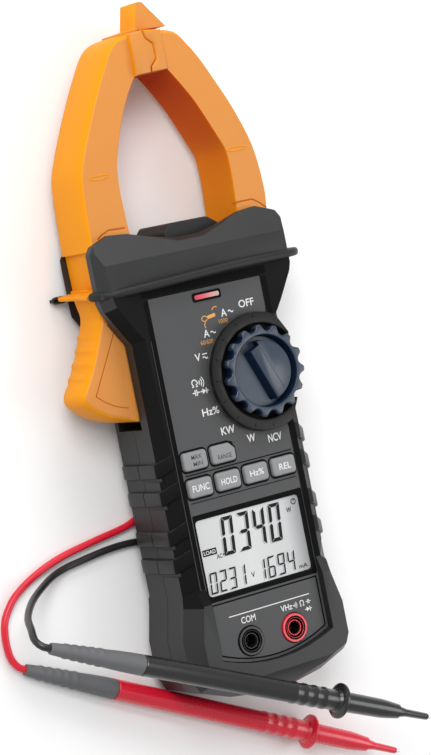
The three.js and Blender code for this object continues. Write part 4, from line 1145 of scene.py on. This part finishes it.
# finish, then each word with its place on the key, its height and its width
keyWords = {
    "max_min": ("printDark", [("MAX", 0.6, 1.5, 1.9, 5.2), ("MIN", 0.9, -1.5, 1.9, 4.8)]),
    "range": ("printDark", [("RANGE", 0.2, -1.3, 2.1, 7.2)]),
    "func": ("printWhite", [("FUNC", 0, 0, 3.0, 8.6)]),
    "hold": ("printWhite", [("HOLD", 0, -0.2, 2.8, 8.2)]),
    "hz": ("printWhite", [("Hz%", 0, 0.2, 2.7, 7.2)]),
    "rel": ("printWhite", [("REL", 0.3, -0.2, 2.8, 6.2)]),
}
for name, (finish, words) in keyWords.items():
    x, y = keySpots[name]
    points, faces = merged(*[letters(word, x + dx, y + dy, height, width, keyZ)
                             for word, dx, dy, height, width in words])
    addPiece("keyPrint_" + name, points * mm, faces, finish, name + "_button")

# the digits are slanted a little, and cast a soft shade on the plate behind
display = {"slant": 0.09, "bigWidth": 5.9, "bigHeight": 16.5, "bigThick": 1.55, "smallWidth": 3.7,
           "smallHeight": 9.2, "smallThick": 0.72, "shade": (-0.85, -0.35), "bigY": 63.0, "smallY": 48.3,
           "big": [("0", -15.8), ("3", -7.6), ("4", 0.6), ("0", 8.9)],
           "small": [("0", -26.0), ("2", -21.1), ("3", -16.2), ("1", -11.3), ("1", -1.0), ("6", 4.2),
                     ("9", 9.4), ("4", 14.6)]}
litSegments = {"0": "abcdef", "1": "bc", "2": "abged", "3": "abgcd", "4": "fgbc", "6": "afgecd",
               "9": "abcdfg"}


def digit(value, x, y, width, height, thick):
    # mitred bars round a figure of eight whose lower left corner is at x, y
    w, h, t, g = width, height, thick, thick * 0.10
    m, half = height / 2, thick / 2
    outlines = {
        "a": [(g, h), (w - g, h), (w - t - g, h - t), (t + g, h - t)],
        "d": [(g, 0), (t + g, t), (w - t - g, t), (w - g, 0)],
        "f": [(0, h - g), (t, h - t - g), (t, m + half + g), (half, m + g), (0, m + half)],
        "b": [(w, h - g), (w, m + half), (w - half, m + g), (w - t, m + half + g), (w - t, h - t - g)],
        "e": [(0, g), (0, m - half), (half, m - g), (t, m - half - g), (t, t + g)],
        "c": [(w, g), (w - t, t + g), (w - t, m - half - g), (w - half, m - g), (w, m - half)],
        "g": [(half + g, m), (t + g, m + half), (w - t - g, m + half), (w - half - g, m),
              (w - t - g, m - half), (t + g, m - half)],
    }
    bars = []
    for key in litSegments[value]:
        bar = np.array(outlines[key])
        bar[:, 0] += display["slant"] * bar[:, 1]
        bars.append(bar + (x, y))
    return bars


def makeDisplay():
    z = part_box("lcd_window")[1][2] / mm
    bars = []
    for row in ("big", "small"):
        width, height, thick = (display[row + measure] for measure in ("Width", "Height", "Thick"))
        for value, x in display[row]:
            bars += digit(value, x, display[row + "Y"], width, height, thick)
    shapes = [prism(bar, z + 0.02, z + 0.06) for bar in bars]
    shapes += [letters("W", 20.6, 74.9, 2.2, 2.6, z + 0.04), letters("V", -3.6, 51.9, 2.2, 2.0, z + 0.04),
               letters("mA", 22.5, 49.6, 1.8, 4.4, z + 0.04), letters("AC", -18.4, 63.6, 1.9, 2.8, z + 0.04),
               prism(roundedOutline(-22.9, 66.3, 7.2, 2.9, 0.3), z + 0.01, z + 0.05),
               linePrism(arc(23.7, 78.0, 1.15, 0, 350, 20), 0.4, z + 0.04),
               linePrism(wave(-15.7, 63.7, 1.9, 0.35), 0.42, z + 0.04),
               linePrism([(23.7, 78.1), (23.9, 78.6), (24.3, 79.2)], 0.35, z + 0.04)]
    points, faces = merged(*shapes)
    addPiece("displayDigits", at(points), faces, "segment")
    points, faces = letters("LOAD", -22.9, 66.3, 1.7, 6.0, z + 0.06)
    addPiece("displayWord", at(points), faces, "printWhite")
    points, faces = merged(*[prism(bar + display["shade"], z + 0.004, z + 0.012) for bar in bars])
    addPiece("displayShades", at(points), faces, "segmentShade")


makeDisplay()


def ringPlate(outer, inner, z0, z1, roll=0.25):
    # a flat frame between two outlines with as many points, both its edges eased
    count = len(outer)
    loops = [(outer, z0), (outer, z1 - roll), (inset(outer, roll), z1), (inset(inner, -roll), z1),
             (inner, z1 - roll), (inner, z0)]
    points = np.concatenate([np.column_stack([loop, np.full(count, z)]) for loop, z in loops])
    faces = gridFaces(len(loops), count)
    last = (len(loops) - 1) * count
    faces += [[last + k, last + (k + 1) % count, (k + 1) % count, k] for k in range(count)]
    return points, faces


# outlines are (x, y, width, height, corner), the lamp's without a place; the side ways are black strips that
# stand for the narrow gaps between the panel and the casing, and the top way under the guard is painted
# shadow
trims = {"bandOuter": (0.1, 64.0, 57.2, 38.6, 0.8), "bandInner": (-0.4, 64.0, 53.9, 33.7, 1.6),
         "lampOuter": (14.4, 3.9, 0.9), "lampInner": (12.5, 1.9, 0.7), "wayX": 30.35, "wayWidth": 2.3,
         "topWay": (0, 179.9, 64, 3.4, 0.8), "lipX": -31.65, "lipWidth": 0.35}


def makePanelTrims():
    top = panelTop / mm
    # black band round the display
    outer, inner = roundedOutline(*trims["bandOuter"]), roundedOutline(*trims["bandInner"])
    points, faces = ringPlate(outer, inner, top - 0.7, top + 0.12)
    addPiece("displayBand", at(points), faces, "blackTrimAndShade")
    # grooves: round the jack face, under the lower keys and between the rows
    sag = 6 * (1 - np.linspace(-1, 1, 15) ** 2)
    bottom = np.column_stack([np.linspace(-27.4, 27.4, 15), 19.6 - sag + 2.2])
    lines = [([(-27.4, 43.4), (-27.4, 32), (-27.4, 21.9)], 0.7), (bottom, 0.7),
             ([(27.4, 21.9), (27.4, 32), (27.4, 43.4)], 0.7),
             ([(-27.7, 43.6), (0, 43.6), (27.7, 43.6)], 0.7),
             ([(-27.5, 88.4), (0, 88.4), (27.5, 88.4)], 0.35),
             ([(-27.5, 100.4), (0, 100.4), (27.5, 100.4)], 0.5)]
    points, faces = merged(*[linePrism(line, width, top + 0.01) for line, width in lines])
    addPiece("panelGrooves", at(points), faces, "blackTrimAndShade")


makePanelTrims()


def makeValleys():
    # up both sides of the panel and under the guard, where the strip is painted shadow of the guard
    top = grip["frontZ"]
    sides = [[(side * trims["wayX"], y) for y in np.linspace(45, 177, 9)] for side in (-1, 1)]
    ways = [prism(stroke(line, trims["wayWidth"]), top - 0.3, top + 0.05) for line in sides]
    ways.append(prism(roundedOutline(*trims["topWay"]), top - 0.3, top + 0.06))
    points, faces = merged(*ways)
    addPiece("panelValleys", at(points), faces, "blackTrimAndShade")
    # a thin lip beside the left one
    lip = stroke([(trims["lipX"], y) for y in np.linspace(45, 160, 9)], trims["lipWidth"])
    points, faces = prism(lip, top - 0.3, top + 0.22)
    addPiece("panelLips", at(points), faces, "casing")


def makeLampFrame():
    x, y = (lampLow[0] + lampHigh[0]) / 2 / mm, (lampLow[1] + lampHigh[1]) / 2 / mm
    z = lampHigh[2] / mm
    outer, inner = roundedOutline(x, y, *trims["lampOuter"]), roundedOutline(x, y, *trims["lampInner"])
    points, faces = ringPlate(outer, inner, z - 0.8, z + 0.1, 0.12)
    addPiece("lampFrame", points * mm, faces, "blackTrimAndShade")


makeValleys()
makeLampFrame()


def ellipseOutline(x, y, width, height, count=40):
    angle = np.linspace(0, 2 * np.pi, count, endpoint=False)
    return np.column_stack([width / 2 * np.cos(angle), height / 2 * np.sin(angle)]) + (x, y)


# each arm's raised oval and the stepped line where the arm leaves the collar
jawMarks = {
    "Left": ((-34.6, 232.2), [(-41.4, 206.6), (-39.0, 208.2), (-35.4, 209.6), (-31, 209.4), (-27.2, 209.3)]),
    "Right": ((36.4, 233.6), [(28.2, 210.4), (33.5, 210.6), (39.1, 210.6), (42.4, 208.6), (45.6, 205.8)]),
}


def makeJawTrims():
    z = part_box("fixed_jaw")[0][2] / mm + 26
    for name, (oval, line) in jawMarks.items():
        outer, inner = ellipseOutline(*oval, 10.6, 2.1), ellipseOutline(*oval, 9.7, 1.3)
        points, faces = merged(ringPlate(outer, inner, z - 0.3, z + 0.22, 0.08),
                               linePrism(line, 0.7, z + 0.02))
        piece = addPiece("jawMarks" + name, at(points), faces, "orangeSidePaintedLight", jaws[name]["body"])
        # faces below y 215, the stepped line by the collar, take the dark orange of painted shade; the ovals
        # take the sides' painted light
        paint(piece, "orangeSidePaintedLight", lambda middle, normal: "orangeShadeAndSeams" if middle[1] < 215 else None)
    # the line of the plate let into the thumb piece, a dark joint in the orange of the painted shade
    z = thumb["steps"][-1][0]
    plate = [[(-41.3, 167.0), (-45.6, 159.5), (-50.3, 151.5), (-56.0, 141.7)],
             [(-56.1, 141.8), (-52.7, 138.8), (-48.7, 136.3), (-44.5, 134.6), (-41.5, 133.8)]]
    points, faces = merged(*[linePrism(line, 0.45, z + 0.01) for line in plate])
    addPiece("triggerLine", at(points), faces, "orangeShadeAndSeams", "jaw")


makeJawTrims()


def makeDialMarks():
    # nine pairs of short marks on the ring, from the top round to the bottom by the left
    z = panelTop / mm + ring["top"] + 0.06
    marks = []
    for k in range(ring["marks"]):
        angle = 90 + ring["markStep"] * k
        c, s = math.cos(math.radians(angle)), math.sin(math.radians(angle))
        for away in ring["markRadii"]:
            outline = roundedOutline(dialX / mm + away * c, dialY / mm + away * s, 0.95, 0.5, 0.2, angle)
            marks.append(prism(outline, z - 0.08, z + 0.03))
    points, faces = merged(*marks)
    addPiece("dialMarks", points * mm, faces, "blackTrimAndShade")


makeDialMarks()


def makeJackLinings():
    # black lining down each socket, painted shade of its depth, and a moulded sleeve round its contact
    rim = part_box("jack_com")[1][2] / mm
    for name, place, finish in (("Com", comSpot, "jackBlack"), ("Volt", voltSpot, "jackRed")):
        x, y = place[:2] / mm
        lining = [(rim + 0.05, 5.25), (rim + 0.05, 4.5), (rim - 0.3, 4.22), (20, 4.22), (20, 4.29),
                  (rim - 0.5, 4.29), (rim + 0.01, 4.8), (rim + 0.01, 5.25), (rim + 0.05, 5.25)]
        points, faces = lathe(lining, (x, y, 0), (x, y, 1), 48)
        addPiece("jackLining" + name, points * mm, faces, "blackTrimAndShade")
        sleeve = [(24, 2.95), (24, 3.5), (rim - 0.8, 3.5), (rim - 0.5, 3.35), (rim - 0.5, 3.1),
                  (rim - 0.8, 2.95), (24, 2.95)]
        points, faces = lathe(sleeve, (x, y, 0), (x, y, 1), 48)
        addPiece("jackSleeve" + name, points * mm, faces, finish)
        # the bore round the contact is black as painted shade deep in the socket
        bore = [(22, 2.3), (22, 2.94), (rim - 0.9, 2.94), (rim - 1.2, 2.6), (rim - 2.2, 2.3), (22, 2.3)]
        points, faces = lathe(bore, (x, y, 0), (x, y, 1), 48)
        addPiece("jackBore" + name, points * mm, faces, "blackTrimAndShade")


makeJackLinings()
print("panel trimmed")


def makeGuard():
    # a flange across the front just below the jaws; rim and root are two lines in X and Z, and the
    # section between them is rounded at the rim
    rim = np.array([(-51.8, 31.8), (-51.0, 35.0), (-48.5, 39.0), (-43.5, 42.4), (-30, 45.0), (-14, 46.2),
                    (0, 46.5), (14, 46.2), (30, 45.0), (44, 42.6), (52, 38.8), (57.6, 31.5), (59.5, 21),
                    (58.4, 11.5), (55.5, 7)])
    root = np.array([(-47.5, 31.9), (-46.5, 33.6), (-44, 36), (-40, 38), (-28, 39.5), (-14, 40), (0, 40),
                     (14, 40), (28, 39.5), (38, 38), (44, 35), (46.5, 30), (47.5, 21), (47.5, 13), (47, 9)])
    t = np.linspace(0, len(rim) - 1, 71)
    line = np.column_stack([np.interp(t, np.arange(len(rim)), rim[:, axis]) for axis in (0, 1)])
    base = np.column_stack([np.interp(t, np.arange(len(rim)), root[:, axis]) for axis in (0, 1)])
    # the corners of both lines are eased by averaging each point with its neighbours
    for flow in (line, base):
        for _ in range(3):
            flow[1:-1] = (flow[:-2] + 2 * flow[1:-1] + flow[2:]) / 4
    out = line - base
    reach = np.linalg.norm(out, axis=1)[:, None]
    out = out / np.maximum(reach, 1e-6)
    thickRoot, thickRim = guard["root"] / 2, guard["rim"] / 2
    section = [(0, -thickRoot), (1, -thickRim - 0.15), (1, -thickRim * 0.75), (1, -thickRim * 0.3),
               (1, thickRim * 0.3), (1, thickRim * 0.75), (1, thickRim + 0.15), (0, thickRoot)]
    pull = [0, 1.0, 0.3, 0.0, 0.0, 0.3, 1.0, 0]
    loops = []
    for (share, y), back in zip(section, pull):
        x, z = (base + share * (line - base) - back * out * share).T
        loops.append(np.column_stack([x, guard["y"] + y - guardDip(x, z), z]))
    points = np.stack(loops, 1).reshape(-1, 3)
    count = len(section)
    faces = gridFaces(len(t), count)
    faces += [list(range(count)), list(range((len(t) - 1) * count, len(t) * count))]
    # the guard's end on the rear casing, behind the moving jaw's own
    backTip = roundedOutline(-50.2, guard["y"] - 0.3, 7.0, guard["rim"], 1.9)
    tipSteps = [(0.9, 0.8), (1.6, 0.2), (2.4, 0), (4.0, 0), (4.5, 0.3)]
    points, faces = merged((points, faces), drawnIn(backTip, tipSteps))
    addPiece("handGuard", at(points), faces, "casingRubber", sharp=40)


makeGuard()
print("guard made")

stage = {"size": 3.0, "world": 0.55}


def makeStage():
    points = np.array([(-1, -1, 0), (1, -1, 0), (1, 1, 0), (-1, 1, 0)]) * stage["size"] - (0, 0, 0.0003)
    mesh = bpy.data.meshes.new("floor")
    mesh.from_pydata(points.tolist(), [], [[0, 1, 2, 3]])
    floor = bpy.data.objects.new("floor", mesh)
    bpy.context.collection.objects.link(floor)
    material = bpy.data.materials.new("floorPaint")
    material.use_nodes = True
    tree = material.node_tree
    shader = tree.nodes["Principled BSDF"]
    shader.inputs["Base Color"].default_value = (0.88, 0.88, 0.88, 1)
    shader.inputs["Roughness"].default_value = 0.9
    mesh.materials.append(material)
    world = bpy.data.worlds.new("studio")
    bpy.context.scene.world = world
    world.use_nodes = True
    tree = world.node_tree
    background = tree.nodes["Background"]
    light = tree.nodes.new("ShaderNodeLightPath")
    seen = mathNode(tree, "MAXIMUM", light.outputs["Is Camera Ray"], light.outputs["Is Transmission Ray"])
    strength = mathNode(tree, "ADD", mathNode(tree, "MULTIPLY", seen, 1 - stage["world"]), stage["world"])
    tree.links.new(strength, background.inputs["Strength"])
    background.inputs["Color"].default_value = (1, 1, 1, 1)


# name: place in metres, size, watts
lamps = {
    "keySoftbox": ((-0.55, 0.55, 1.0), (0.7, 0.5), 9.0),
    "fillSoftbox": ((0.8, -0.3, 0.8), (0.6, 0.6), 4.0),
    "topStrip": ((0.1, 0.9, 0.5), (0.9, 0.25), 4.0),
}


def makeLamps():
    for name, (place, extent, power) in lamps.items():
        data = bpy.data.lights.new(name, "AREA")
        data.shape = "RECTANGLE"
        data.size, data.size_y = extent
        data.energy = power
        lamp = bpy.data.objects.new(name, data)
        lamp.location = place
        lamp.rotation_euler = (-Vector(place)).to_track_quat("-Z", "Y").to_euler()
        bpy.context.collection.objects.link(lamp)


makeStage()
makeLamps()
bpy.context.scene.view_settings.view_transform = "Standard"
print("stage lit")
